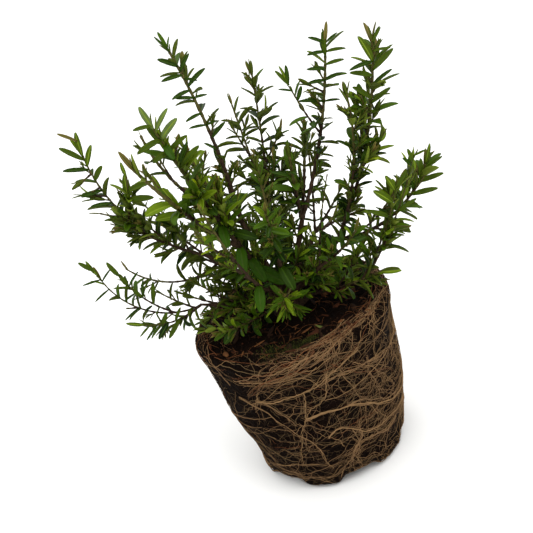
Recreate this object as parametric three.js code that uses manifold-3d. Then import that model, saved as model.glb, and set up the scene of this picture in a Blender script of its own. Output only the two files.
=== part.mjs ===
// A young hebe shrub, lifted out of its nursery pot and standing on its bare root ball.
// Millimetres, degrees, +Z up. The origin is the middle of the root ball's flat underside.
import * as THREE from 'three';
import { ConvexGeometry } from 'three/addons/geometries/ConvexGeometry.js';
import { mergeVertices } from 'three/addons/utils/BufferGeometryUtils.js';
import Module from 'manifold-3d';

const wasm = await Module();
wasm.setup();

// ---------------------------------------------------------------- driving dimensions

const gap = 0.3; // between two pieces that touch
const sliver = 0.06; // leaf joints are smoothed by this much
const courseSteps = 48; // along the centre line of any stem

// The ball keeps the shape of a two litre pot. Its top is flat where the trunk stands.
const ball = {
  height: 133, topRadius: 80, footRadius: 61, shoulder: 9, heel: 4, flatTop: 17,
  sides: 42, sideRows: 6, undersideRings: [24, 46, 52], soilRings: [56, 38],
  sideSwell: 1.3, soilHeave: 2.2, wornEdge: 1.2,
};

// The pot's drain holes left recesses round the ball's heel.
const recess = { count: 6, first: -80, halfWidth: 15, softness: 4, depth: 6, from: 48, top: 30 };

// The trunk is a short knuckle at soil level, where every bough springs.
const trunk = {
  height: 23, flareRadius: 14, waistRadius: 9, waistHeight: 9, crownRadius: 9.5, crownHeight: 16,
  sides: 12, lean: 3, ribs: 5, ribDepth: 0.13,
};

const bough = { footRadius: 2.5, tipRadius: 1.9, bow: 5, sides: 6, steps: 5 };
const stem = { neck: 6, footRadius: 2.1, tipRadius: 1.4, sides: 3, stepLength: 24 };
const sideShoot = {
  first: 16, spacing: 40, share: 0.5, longest: 46, spread: 48, tipSpread: 20, radius: 1.1, elbowRoom: 6,
};
const leaf = {
  length: 25, width: 7.2, widest: 0.45, keel: 0.9, keelAt: 0.4, sunk: 0.5, room: 0.7,
  spacing: 15.2, sideSpacing: 15.2, firstOnLeader: 7, firstOnLowShoot: 22, firstOnSide: 8,
  budLength: 9, budSize: 0.42, budSpread: 14, spread: 68, spreadOver: 26, scatter: 12,
};

// Each bough carries one mass of leading shoots. Compass is measured from +X towards +Y,
// lean is the mean angle from upright, and bow is how far the lean falls away on each side of it.
const boughs = [
  { name: 'back_left_high', compass: 128, lean: 20, length: 50, leaders: [
    { compass: 112, lean: 11, bow: 2, length: 147 },
    { compass: 157, lean: 31, bow: 8, length: 111 },
    { compass: 98, lean: 10, bow: -4, length: 59 }] },
  { name: 'back_high', compass: 70, lean: 26, length: 48, leaders: [
    { compass: 57, lean: 20, bow: 4, length: 116 },
    { compass: 91, lean: 39, bow: 6, length: 106 }] },
  { name: 'right_high', compass: 12, lean: 30, length: 46, leaders: [
    { compass: 20, lean: 26, bow: 8, length: 142 },
    { compass: -60, lean: 11, bow: -4, length: 62 },
    { compass: 52, lean: 34, bow: 6, length: 78 }] },
  { name: 'right', compass: -4, lean: 56, length: 48, leaders: [
    { compass: 0, lean: 24, bow: 14, length: 157 },
    { compass: -17, lean: 17, bow: 2, length: 122 },
    { compass: 10, lean: 67, bow: 8, length: 102 },
    { compass: -30, lean: 51, bow: 10, length: 81 }] },
  { name: 'left_high', compass: 168, lean: 44, length: 54, leaders: [
    { compass: 163, lean: 29, bow: 16, length: 141 },
    { compass: -175, lean: 44, bow: 10, length: 88 }] },
  { name: 'near_left', compass: -142, lean: 24, length: 46, leaders: [
    { compass: -125, lean: 21, bow: 6, length: 119 },
    { compass: -134, lean: 34, bow: 8, length: 124 },
    { compass: 168, lean: 10, bow: -3, length: 94 }] },
  { name: 'front_right', compass: -46, lean: 54, length: 40, leaders: [
    { compass: -43, lean: 51, bow: 12, length: 59 },
    { compass: -37, lean: 22, bow: 6, length: 85 }] },
  { name: 'front_mid', compass: -84, lean: 34, length: 42, leaders: [
    { compass: -89, lean: 43, bow: 10, length: 90 },
    { compass: -48, lean: 6, bow: 4, length: 84 }] },
  { name: 'front_left', compass: -112, lean: 50, length: 44, leaders: [
    { compass: -113, lean: 27, bow: 12, length: 100 },
    { compass: -171, lean: 25, bow: 8, length: 72 }] },
  { name: 'left_low', compass: 182, lean: 72, length: 54, leaders: [
    { compass: 167, lean: 54, bow: 16, length: 98 },
    { compass: -153, lean: 73, bow: 10, length: 60 }] },
  { name: 'back_left', compass: 140, lean: 62, length: 52, leaders: [
    { compass: 138, lean: 43, bow: 12, length: 107 },
    { compass: 92, lean: 41, bow: 10, length: 105 },
    { compass: 165, lean: 76, bow: 16, length: 92 },
    { compass: 123, lean: 76, bow: 14, length: 93 }] },
  { name: 'back_right', compass: 42, lean: 60, length: 46, leaders: [
    { compass: 65, lean: 34, bow: 10, length: 94 },
    { compass: 26, lean: 56, bow: 8, length: 48 },
    { compass: 33, lean: 86, bow: 14, length: 66 }] },
  { name: 'back_low', compass: 88, lean: 60, length: 50, leaders: [
    { compass: 73, lean: 53, bow: 12, length: 84 },
    { compass: 49, lean: 76, bow: 10, length: 83 }] },
];

// Short shoots near the soil that spring straight from the trunk.
const lowShoots = [
  { name: 'low_front', compass: -92, lean: 58, bow: 14, length: 70 },
  { name: 'low_front_left', compass: -140, lean: 76, bow: 10, length: 74 },
  { name: 'low_right', compass: -24, lean: 78, bow: 10, length: 84 },
];

const bark = new THREE.MeshStandardMaterial({ color: 0x4a3626, roughness: 0.85, metalness: 0 });
const foliage = new THREE.MeshStandardMaterial({ color: 0x3c5f1f, roughness: 0.5, metalness: 0 });
const soil = new THREE.MeshStandardMaterial({ color: 0x6b4f33, roughness: 0.95, metalness: 0 });

// ---------------------------------------------------------------- small helpers

const { degToRad: radians, radToDeg, euclideanModulo, clamp, lerp, smoothstep } = THREE.MathUtils;

// A repeatable chance from 0 to 1 for a set of whole numbers, which seeds every choice.
function chance(...keys) {
  let value = 0.5;
  for (const key of keys) {
    const wave = Math.sin(value * 78.233 + key * 12.9898 + 4.7) * 43758.5453;
    value = wave - Math.floor(wave);
  }
  return value;
}

function heading(compass, lean) {
  const level = Math.sin(radians(lean));
  const bearing = radians(compass);
  return new THREE.Vector3(level * Math.cos(bearing), level * Math.sin(bearing), Math.cos(radians(lean)));
}

function solidOf(geometry) {
  geometry.deleteAttribute('normal');
  geometry.deleteAttribute('uv');
  const merged = mergeVertices(geometry);
  const vertProperties = merged.attributes.position.array;
  const triVerts = new Uint32Array(merged.index.array);
  return new wasm.Manifold(new wasm.Mesh({ numProp: 3, vertProperties, triVerts }));
}

function geometryOf(solid) {
  const mesh = solid.getMesh();
  const geometry = new THREE.BufferGeometry();
  geometry.setAttribute('position', new THREE.BufferAttribute(mesh.vertProperties, 3));
  geometry.setIndex(new THREE.BufferAttribute(mesh.triVerts, 1));
  geometry.computeVertexNormals();
  return geometry;
}

function node(name, geometry, material) {
  const mesh = new THREE.Mesh(geometry, material);
  mesh.name = name;
  return mesh;
}

// ---------------------------------------------------------------- root ball

// How deep a drain recess bites at a bearing: 1 in its middle, 0 on the lands between.
function recessAt(angle) {
  const period = 360 / recess.count;
  const turned = radToDeg(angle) - recess.first;
  const offset = Math.abs(euclideanModulo(turned + period / 2, period) - period / 2);
  return 1 - smoothstep(offset, recess.halfWidth - recess.softness, recess.halfWidth + recess.softness);
}

// Half the ball's section, from the middle of the underside round to the middle of the soil.
function ballProfile() {
  const { height, topRadius, footRadius, shoulder, heel, sideRows, wornEdge } = ball;
  const corners = [0, ...ball.undersideRings, footRadius - heel].map((r) => [r, 0]);
  for (let row = 0; row <= sideRows; row += 1) {
    const z = lerp(heel, height - shoulder, row / sideRows);
    corners.push([lerp(footRadius, topRadius, z / height), z]);
  }
  for (const turn of [35, 65, 90]) {
    const r = topRadius - shoulder * (1 - Math.cos(radians(turn))) - wornEdge;
    corners.push([r, height - shoulder * (1 - Math.sin(radians(turn)))]);
  }
  corners.push(...[...ball.soilRings, ball.flatTop, 0].map((r) => [r, height]));
  return corners.map(([r, z]) => new THREE.Vector2(r, z));
}

// The side swells in slow lumps, the soil heaves between the trunk and the rim, and the heel
// lifts off the ground in each recess.
function rootBallGeometry() {
  const geometry = new THREE.LatheGeometry(ballProfile(), ball.sides).rotateX(Math.PI / 2);
  const corners = geometry.attributes.position;
  const corner = new THREE.Vector3();
  for (let i = 0; i < corners.count; i += 1) {
    const { x, y, z } = corner.fromBufferAttribute(corners, i);
    const r = Math.hypot(x, y);
    const angle = Math.atan2(y, x);
    const onSide = smoothstep(z, 2, 20) * smoothstep(r, 40, 60);
    const swell = Math.sin(3 * angle + z / 21) + 0.7 * Math.sin(5 * angle - z / 13 + 2);
    const grown = 1 + (ball.sideSwell * swell * onSide) / Math.max(r, 1);
    const onSoil = smoothstep(r, ball.flatTop, 40) * smoothstep(z, ball.height - 2, ball.height);
    const heave = Math.sin(x / 11 + 1) * Math.cos(y / 14) + 0.5 * Math.sin(4 * angle + r / 9);
    const atHeel = smoothstep(r, recess.from, recess.from + 3) * (1 - smoothstep(z, ball.heel, recess.top));
    const lift = recess.depth * recessAt(angle) * atHeel;
    corners.setXYZ(i, x * grown, y * grown, z + lift + ball.soilHeave * heave * onSoil);
  }
  return geometry;
}

// ---------------------------------------------------------------- stems

// A centre line with, at each step, its point and its direction, and the level line across it.
function course(foot, length, directionAt, across) {
  const points = [foot.clone()];
  const directions = [];
  for (let step = 0; step < courseSteps; step += 1) {
    const direction = directionAt((step + 0.5) / courseSteps);
    directions.push(direction);
    points.push(points[step].clone().addScaledVector(direction, length / courseSteps));
  }
  directions.push(directionAt(1));
  return { points, directions, across, length };
}

function leaderCourse(foot, { compass, lean, bow, length }) {
  const across = new THREE.Vector3(Math.sin(radians(compass)), -Math.cos(radians(compass)), 0);
  return course(foot, length, (t) => heading(compass, lean + bow * (1 - 2 * t)), across);
}

// The place on a stem at a distance from its foot, with the two axes square to its direction.
function placeOn(line, distance) {
  const exact = clamp(distance / line.length, 0, 1) * courseSteps;
  const index = Math.min(Math.floor(exact), courseSteps - 1);
  const part = exact - index;
  const point = line.points[index].clone().lerp(line.points[index + 1], part);
  const direction = line.directions[index].clone().lerp(line.directions[index + 1], part).normalize();
  const over = line.across.clone().cross(direction);
  return { point, direction, across: line.across, over };
}

function blend(one, share, other, otherShare) {
  return one.clone().multiplyScalar(share).addScaledVector(other, otherShare);
}

const outward = (place, turn) => blend(place.across, Math.cos(turn), place.over, Math.sin(turn));

// A side shoot leaves its parent at the spread angle and swings back towards the parent's way.
function sideCourse(parent, distance, turn, length) {
  const place = placeOn(parent, distance);
  const out = outward(place, turn);
  const across = place.direction.clone().cross(out);
  const directionAt = (t) => {
    const angle = radians(lerp(sideShoot.spread, sideShoot.tipSpread, t));
    return blend(place.direction, Math.cos(angle), out, Math.sin(angle));
  };
  return course(place.point, length, directionAt, across);
}

// A closed tapering limb along a course, bent from a plain cylinder.
function limbSolid(line, from, to, footRadius, tipRadius, sides, steps) {
  const geometry = new THREE.CylinderGeometry(1, 1, 1, sides, steps);
  const place = geometry.attributes.position;
  for (let i = 0; i < place.count; i += 1) {
    const part = place.getY(i) + 0.5;
    const { point, across, over } = placeOn(line, lerp(from, to, part));
    const radius = lerp(footRadius, tipRadius, part);
    point.addScaledVector(across, place.getX(i) * radius).addScaledVector(over, place.getZ(i) * radius);
    place.setXYZ(i, point.x, point.y, point.z);
  }
  return solidOf(geometry);
}

// ---------------------------------------------------------------- trunk

// The knuckle flares at the soil in soft ribs, narrows at the waist and swells where the boughs
// spring. It can be grown all round, to cut a neighbour clear of it.
function trunkSolid(grow) {
  const { height, flareRadius, waistRadius, waistHeight, crownRadius, crownHeight } = trunk;
  const outline = [
    [0, 0], [flareRadius, 0], [0.82 * flareRadius, 0.3 * waistHeight],
    [waistRadius, waistHeight], [crownRadius, crownHeight],
    [0.86 * crownRadius, height - 3], [0.5 * crownRadius, height - 0.6], [0, height],
  ];
  const grown = ([r, z]) => new THREE.Vector2(r > 0 ? r + grow : 0, z > waistHeight ? z + grow : z);
  const profile = outline.map(grown);
  const geometry = new THREE.LatheGeometry(profile, trunk.sides).rotateX(Math.PI / 2);
  const corners = geometry.attributes.position;
  const corner = new THREE.Vector3();
  for (let i = 0; i < corners.count; i += 1) {
    const { x, y, z } = corner.fromBufferAttribute(corners, i);
    const depth = trunk.ribDepth * (1 - smoothstep(z, 0, waistHeight));
    const rib = 1 + depth * Math.cos(trunk.ribs * Math.atan2(y, x));
    corners.setXYZ(i, x * rib + z * Math.tan(radians(trunk.lean)), y * rib, z);
  }
  return solidOf(geometry);
}

// Steep limbs spring from the trunk's top and flat ones from lower down, just inside its skin.
function footOnTrunk({ compass, lean }) {
  const r = 3 + 5 * (lean / 90);
  const bearing = radians(compass);
  return new THREE.Vector3(r * Math.cos(bearing), r * Math.sin(bearing), 24 - 20 * (lean / 90));
}

// ---------------------------------------------------------------- growing the plant's courses

const masses = [];
boughs.forEach((plan, index) => {
  const limb = leaderCourse(footOnTrunk(plan), { ...plan, bow: bough.bow });
  const tip = placeOn(limb, limb.length);
  const neck = course(tip.point, stem.neck, () => tip.direction, tip.across);
  const leaders = plan.leaders.map((leader) => leaderCourse(neck.points[courseSteps], leader));
  masses.push({ name: plan.name, index, limb, neck, leaders, sides: [] });
});
lowShoots.forEach((plan, index) => {
  const leaders = [leaderCourse(footOnTrunk(plan), plan)];
  masses.push({ name: plan.name, index: boughs.length + index, leaders, sides: [] });
});

// Every centre line that is in the way of another mass, as straight pieces with a radius.
const spines = [];
function addSpine(owner, line, radius, isLimb = false) {
  const stride = 8;
  for (let step = 0; step < courseSteps; step += stride) {
    const piece = new THREE.Line3(line.points[step], line.points[step + stride]);
    spines.push({ owner, isLimb, radius, piece });
  }
}

const nearest = new THREE.Vector3();
function distanceTo(point, test) {
  let least = Infinity;
  for (const spine of spines) {
    if (test(spine)) {
      spine.piece.closestPointToPoint(point, true, nearest);
      least = Math.min(least, nearest.distanceTo(point) - (spine.isLimb ? spine.radius : 0));
    }
  }
  return least;
}

function offSoil(point, clearance) {
  return point.z > clearance || Math.hypot(point.x, point.y) > ball.topRadius + clearance;
}

for (const mass of masses) {
  if (mass.limb) addSpine(mass.name, mass.limb, bough.footRadius, true);
  if (mass.neck) addSpine(mass.name, mass.neck, stem.footRadius);
  for (const leader of mass.leaders) addSpine(mass.name, leader, stem.footRadius);
}

// Side shoots stand alternately round each leader, where no other mass is in the way.
for (const mass of masses) {
  mass.leaders.forEach((leader, leaderIndex) => {
    const stations = Math.floor((leader.length - sideShoot.first - 20) / sideShoot.spacing) + 1;
    for (let k = 0; k < stations; k += 1) {
      const distance = sideShoot.first + k * sideShoot.spacing;
      const turn = radians(90 + 180 * k + 110 * (chance(mass.index, leaderIndex, k) - 0.5));
      const length = Math.min(sideShoot.longest, sideShoot.share * (leader.length - distance));
      const line = sideCourse(leader, distance, turn, length * (0.8 + 0.2 * chance(k, mass.index)));
      const samples = [0.3, 0.6, 1].map((part) => placeOn(line, part * line.length).point);
      const isOther = (spine) => spine.owner !== mass.name || spine.isLimb;
      if (samples.every((point) => distanceTo(point, isOther) > sideShoot.elbowRoom && offSoil(point, 5))) {
        mass.sides.push(line);
        addSpine(mass.name, line, sideShoot.radius);
      }
    }
  });
}

// ---------------------------------------------------------------- leaves

// Five corners of a leaf with a flat upper face over a keel: its root in the stem, the keel,
// the widest points and the tip.
function leafCorners(place, turn, spread, length) {
  const out = outward(place, turn);
  const along = blend(place.direction, Math.cos(spread), out, Math.sin(spread));
  const under = blend(place.direction, -Math.sin(spread), out, Math.cos(spread));
  const width = place.direction.clone().cross(out);
  const half = (leaf.width / 2) * (length / leaf.length) ** 0.7;
  const corner = (reach, side, drop) => place.point.clone().addScaledVector(along, reach)
    .addScaledVector(width, side).addScaledVector(under, drop);
  return {
    root: corner(-leaf.sunk, 0, 0),
    keel: corner(leaf.keelAt * length, 0, leaf.keel),
    left: corner(leaf.widest * length, half, 0),
    right: corner(leaf.widest * length, -half, 0),
    tip: corner(length, 0, 0),
  };
}

// A leaf keeps to the space that is nearer to its own mass's stems than to any other's.
function hasRoom(corners, mass) {
  const { keel, left, right, tip } = corners;
  const samples = [keel, left, right, tip, keel.clone().lerp(tip, 0.5)];
  return samples.every((point) => {
    if (!offSoil(point, 4)) return false;
    if (distanceTo(point, (spine) => spine.isLimb) < leaf.room) return false;
    const own = distanceTo(point, (spine) => spine.owner === mass.name && !spine.isLimb);
    return distanceTo(point, (spine) => spine.owner !== mass.name && !spine.isLimb) > own + leaf.room;
  });
}

// Opposite pairs, each a quarter turn on from the last, small and upright in the bud at the tip.
function leavesAlong(mass, line, first, spacing, key) {
  const solids = [];
  const woodEnd = line.length - leaf.budLength;
  const pairs = Math.floor((woodEnd - first) / spacing);
  for (let k = 0; k <= pairs; k += 1) {
    const fromTip = k * spacing;
    const place = placeOn(line, woodEnd - fromTip - 0.8);
    const opened = 1 - Math.exp(-fromTip / leaf.spreadOver);
    const scatter = leaf.scatter * (chance(key, k) - 0.5);
    const spread = radians(lerp(leaf.budSpread, leaf.spread, opened) + scatter);
    const grown = lerp(leaf.budSize, 1, Math.min(1, 1.9 * opened));
    const full = leaf.length * grown * (0.88 + 0.2 * chance(k, key, 5));
    for (const face of [0, 1]) {
      const turn = radians(45 + 90 * k + 180 * face + 16 * (chance(key, k, face + 1) - 0.5));
      const sizes = [1, 0.8, 0.62].map((share) => leafCorners(place, turn, spread, full * share));
      const fitting = sizes.find((corners) => hasRoom(corners, mass));
      if (fitting) solids.push(solidOf(new ConvexGeometry(Object.values(fitting))));
    }
  }
  return solids;
}

function massSolid(mass) {
  const solids = [];
  const stemSolid = (line, footRadius) => {
    const steps = Math.max(2, Math.round(line.length / stem.stepLength));
    return limbSolid(line, 0, line.length - leaf.budLength, footRadius, stem.tipRadius, stem.sides, steps);
  };
  if (mass.neck) {
    const { neck } = mass;
    solids.push(limbSolid(neck, gap, neck.length, bough.tipRadius, stem.footRadius, bough.sides, 1));
  }
  mass.leaders.forEach((leader, index) => {
    solids.push(stemSolid(leader, stem.footRadius));
    const firstLeaf = mass.neck ? leaf.firstOnLeader : leaf.firstOnLowShoot;
    solids.push(...leavesAlong(mass, leader, firstLeaf, leaf.spacing, mass.index * 10 + index));
  });
  mass.sides.forEach((line, index) => {
    solids.push(stemSolid(line, sideShoot.radius));
    const key = 500 + mass.index * 10 + index;
    solids.push(...leavesAlong(mass, line, leaf.firstOnSide, leaf.sideSpacing, key));
  });
  const joined = wasm.Manifold.union(solids);
  const clear = mass.neck ? joined : joined.subtract(trunkSolid(gap));
  return clear.asOriginal().simplify(sliver);
}

// ---------------------------------------------------------------- assembly

const hebe = new THREE.Group();
hebe.add(node('root_ball', rootBallGeometry(), soil));

const plant = new THREE.Group();
plant.position.z = ball.height;
hebe.add(plant);

const standing = trunkSolid(0);
const seated = node('trunk', geometryOf(standing), bark);
seated.position.z = gap;
plant.add(seated);

for (const mass of masses) {
  if (mass.limb) {
    const { length } = mass.limb;
    const limb = limbSolid(mass.limb, 0, length, bough.footRadius, bough.tipRadius, bough.sides, bough.steps);
    plant.add(node(`bough_${mass.name}`, geometryOf(limb.subtract(trunkSolid(2 * gap))), bark));
  }
  plant.add(node(`foliage_${mass.name}`, geometryOf(massSolid(mass)), foliage));
}

export default hebe;
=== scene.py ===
import math

import bpy
import numpy as np
from mathutils import Matrix


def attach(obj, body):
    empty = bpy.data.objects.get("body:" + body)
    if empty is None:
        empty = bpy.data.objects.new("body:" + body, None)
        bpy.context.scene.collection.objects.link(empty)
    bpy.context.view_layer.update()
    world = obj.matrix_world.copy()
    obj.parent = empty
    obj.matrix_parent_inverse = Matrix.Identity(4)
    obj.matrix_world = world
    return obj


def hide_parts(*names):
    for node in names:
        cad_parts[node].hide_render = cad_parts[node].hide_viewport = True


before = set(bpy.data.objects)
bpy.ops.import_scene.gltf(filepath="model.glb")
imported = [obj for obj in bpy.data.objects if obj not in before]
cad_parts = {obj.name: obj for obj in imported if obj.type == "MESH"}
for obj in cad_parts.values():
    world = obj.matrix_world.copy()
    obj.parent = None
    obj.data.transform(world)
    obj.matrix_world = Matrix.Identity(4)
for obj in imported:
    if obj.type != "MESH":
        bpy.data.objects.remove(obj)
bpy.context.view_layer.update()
print("frame loaded:", len(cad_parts), "nodes")

# Lengths are in millimetres and angles in degrees until a mesh is put in the scene.
metresPerMm = 0.001

# ---- camera and light ----

cameraPlan = {
    "aim": (0, 0, 133),      # the middle of the soil
    "distance": 650,
    "elevation": 28.4,
    "tilt": 18.97,           # the plant is seen leaning to the left
    "panRight": 0.653,
    "panUp": -3.067,
    "lens": 56.23,
    "sensor": 36,
}
viewUp = math.radians(cameraPlan["elevation"])
upSin, upCos = math.sin(viewUp), math.cos(viewUp)
viewAxes = np.array([[1, 0, 0], [0, upSin, upCos], [0, -upCos, upSin]])  # right, up and nearer, not panned


def addToScene(name, data, axes, place):
    # An object at a place in metres, its own three axes given as rows.
    world = np.eye(4)
    world[:3, :3], world[:3, 3] = np.transpose(axes), place
    thing = bpy.data.objects.new(name, data)
    thing.matrix_world = Matrix(world.tolist())
    bpy.context.scene.collection.objects.link(thing)
    return thing


def turnMatrix(first, second, angle):
    # A turn by an angle that carries the first axis towards the second.
    turn = np.eye(3)
    c, s = math.cos(math.radians(angle)), math.sin(math.radians(angle))
    turn[first, first] = turn[second, second] = c
    turn[first, second], turn[second, first] = -s, s
    return turn


def addCamera(plan):
    # The view looks down at the aim from the front, is panned a little, then rolled about its own axis.
    pan = turnMatrix(1, 2, plan["panUp"]) @ turnMatrix(0, 2, plan["panRight"])
    place = (np.array(plan["aim"]) + plan["distance"] * viewAxes[2]) * metresPerMm
    data = bpy.data.cameras.new("camera")
    data.lens, data.sensor_width = plan["lens"], plan["sensor"]
    axes = turnMatrix(0, 1, plan["tilt"]) @ pan @ viewAxes
    bpy.context.scene.camera = addToScene("camera", data, axes, place)


lightPlan = {
    "skyBelow": (0.42, 0.42, 0.43, 1),
    "skyAbove": (1.85, 1.85, 1.83, 1),  # white above, dimmer at the horizon
    "aim": (0, 0, 0.17),
    "key": {"at": (0.55, -0.75, 1.35), "size": 0.8, "power": 9},
    "fill": {"at": (-1.1, -0.5, 0.8), "size": 1.2, "power": 2},
    "rim": {"at": (-0.3, 1.2, 1.1), "size": 0.9, "power": 3},
}


def addLamp(name, plan):
    # A square lamp that faces the lamps' common aim.
    data = bpy.data.lights.new(name, "AREA")
    data.size, data.energy = plan["size"], plan["power"]
    back = np.array(plan["at"]) - np.array(lightPlan["aim"])
    back = back / np.linalg.norm(back)
    side = np.cross([0, 0, 1], back)
    side = side / np.linalg.norm(side)
    addToScene(name, data, (side, np.cross(back, side), back), plan["at"])


addCamera(cameraPlan)
for lampName in ("key", "fill", "rim"):
    addLamp(lampName, lightPlan[lampName])
bpy.context.scene.view_settings.view_transform = "Standard"
print("camera and lamps ready")

# ---- finishes ----


class Signal:
    # One socket of a finish. Sums written on it add the Math nodes that work them out.
    def __init__(self, finish, socket):
        self.finish = finish
        self.socket = socket

    def work(self, operation, *values):
        return self.finish.node("ShaderNodeMath", {"operation": operation}, dict(enumerate(values)))

    def __add__(self, other):
        return self.work("ADD", self, other)

    def __sub__(self, other):
        return self.work("SUBTRACT", self, other)

    def __mul__(self, other):
        return self.work("MULTIPLY", self, other)

    __radd__ = __add__
    __rmul__ = __mul__

    def clamped(self):
        return self.work("MINIMUM", self.work("MAXIMUM", self, 0), 1)


class Finish:
    # A material, or the sky, with one shader whose sockets are set or fed by signals.
    def __init__(self, name, blocks=bpy.data.materials, shader="Principled BSDF", place="Object"):
        self.material = blocks.new(name)
        self.material.use_nodes = True
        self.tree = self.material.node_tree
        self.shader = self.tree.nodes[shader]
        self.place = self.node("ShaderNodeTexCoord", {}, {}, place)

    def node(self, kind, settings, inputs, output=0):
        made = self.tree.nodes.new(kind)
        for name, value in settings.items():
            setattr(made, name, value)
        for key, value in inputs.items():
            self.feed(made.inputs[key], value)
        return Signal(self, made.outputs[output])

    def feed(self, socket, value):
        if isinstance(value, Signal):
            self.tree.links.new(value.socket, socket)
        else:
            socket.default_value = value

    def grain(self, scale, detail=2, stretch=(1, 1, 1)):
        # Soft noise from 0 to 1, scale per metre, drawn out along any axis whose stretch is under 1.
        place = self.node("ShaderNodeMapping", {}, {"Vector": self.place, "Scale": stretch})
        return self.node("ShaderNodeTexNoise", {}, {"Vector": place, "Scale": scale, "Detail": detail}, "Fac")

    def cells(self, scale):
        # Distance to the nearest of many scattered points, scale per metre.
        return self.node("ShaderNodeTexVoronoi", {}, {"Vector": self.place, "Scale": scale}, "Distance")

    def mixed(self, share, first, second):
        mix = self.tree.nodes.new("ShaderNodeMix")
        mix.data_type = "RGBA"
        for socket, value in zip((mix.inputs[0], mix.inputs[6], mix.inputs[7]), (share, first, second)):
            self.feed(socket, value)
        return Signal(self, mix.outputs[2])

    def relief(self, height, distance, strength=1.0):
        bump = {"Height": height, "Distance": distance, "Strength": strength}
        self.feed(self.shader.inputs["Normal"], self.node("ShaderNodeBump", {}, bump))

    def set(self, **sockets):
        for name, value in sockets.items():
            self.feed(self.shader.inputs[name.replace("_", " ")], value)
        return self


def tint(*parts):
    # A colour picked on a screen, from 0 to 255, as the linear light that shaders work in.
    return (*(((c / 255 + 0.055) / 1.055) ** 2.4 if c > 10 else c / 255 / 12.92 for c in parts), 1)


def shaded(colour, factor):
    return (*(min(c * factor, 1) for c in colour[:3]), 1)


def flecked(name, colour, look):
    # Darker and lighter from place to place, with small uneven relief. Gives the finish, drift and fleck.
    finish = Finish(name)
    drift, fleck = finish.grain(*look["drift"]), finish.grain(*look["fleck"])
    colour = tint(*colour)
    base = finish.mixed(drift, shaded(colour, look["dark"]), shaded(colour, look["light"]))
    finish.relief(fleck, *look["relief"])
    finish.set(Base_Color=base, Specular_IOR_Level=look["gloss"])
    return finish, drift, fleck


def flakyFinish(name, colour, look):
    # Rougher where the fleck is high.
    finish, _, fleck = flecked(name, colour, look)
    return finish.set(Roughness=look["rough"] + 0.2 * fleck)


sky = Finish("studio", bpy.data.worlds, "Background", "Generated")
skyHeight = sky.node("ShaderNodeSeparateXYZ", {}, {"Vector": sky.place}, "Z").clamped()
sky.set(Color=sky.mixed(skyHeight, lightPlan["skyBelow"], lightPlan["skyAbove"]))
bpy.context.scene.world = sky.material
print("sky ready")

# ---- arrays and meshes ----

rng = np.random.default_rng(27)


def chance(*keys):
    # The fraction of a large sine of each key in turn, so equal keys always give equal chances.
    value = 0.5
    for key in keys:
        wave = np.sin(value * 78.233 + np.asarray(key, float) * 12.9898 + 4.7) * 43758.5453
        value = wave - np.floor(wave)
    return value


def smooth(x, low, high):
    # 0 below low, 1 above high, and 3t^2 - 2t^3 between them.
    t = np.clip((x - low) / (high - low), 0, 1)
    return t * t * (3 - 2 * t)


def blendTo(first, second, share):
    return first + (second - first) * share


def unit(vectors):
    return vectors / np.maximum(np.linalg.norm(vectors, axis=-1, keepdims=True), 1e-9)


def cloud(points, size, seed=0):
    # Value noise from -1 to 1: a chance at each corner of a grid of that size, blended smoothly inside.
    cell = np.floor(points / size)
    part = points / size - cell
    part = part * part * (3 - 2 * part)
    total = 0
    for corner in np.ndindex(2, 2, 2):
        spot = cell + corner
        wave = np.sin(spot @ np.array([127.1, 311.7, 74.7]) + seed * 17.3) * 43758.5453
        share = np.prod(np.where(np.array(corner) == 1, part, 1 - part), axis=-1)
        total = total + share * (wave - np.floor(wave))
    return 2 * total - 1


def putMesh(name, points, quads, triangles=(), finishes=(), faceFinish=None):
    # One mesh from arrays: corners in millimetres, four- and three-cornered faces and each face's finish.
    quads = np.asarray(quads, np.int32).reshape(-1, 4)
    triangles = np.asarray(triangles, np.int32).reshape(-1, 3)
    mesh = bpy.data.meshes.new(name)
    mesh.vertices.add(len(points))
    mesh.vertices.foreach_set("co", (np.asarray(points, np.float32) * metresPerMm).ravel())
    mesh.loops.add(quads.size + triangles.size)
    mesh.loops.foreach_set("vertex_index", np.concatenate([quads.ravel(), triangles.ravel()]))
    starts = np.concatenate([np.arange(len(quads)) * 4, quads.size + np.arange(len(triangles)) * 3])
    mesh.polygons.add(len(starts))
    mesh.polygons.foreach_set("loop_start", starts.astype(np.int32))
    mesh.polygons.foreach_set("use_smooth", np.ones(len(starts), bool))
    for finish in finishes:
        mesh.materials.append(finish.material)
    if faceFinish is not None:
        mesh.polygons.foreach_set("material_index", faceFinish.astype(np.int32))
    mesh.update(calc_edges=True)
    mesh.validate()
    piece = bpy.data.objects.new(name, mesh)
    bpy.context.scene.collection.objects.link(piece)
    return piece


def settle(piece, slot, *nodes):
    # The piece moves with the plant and stands for the plain solids that it covers.
    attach(piece, "root")
    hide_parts(*nodes)


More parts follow.
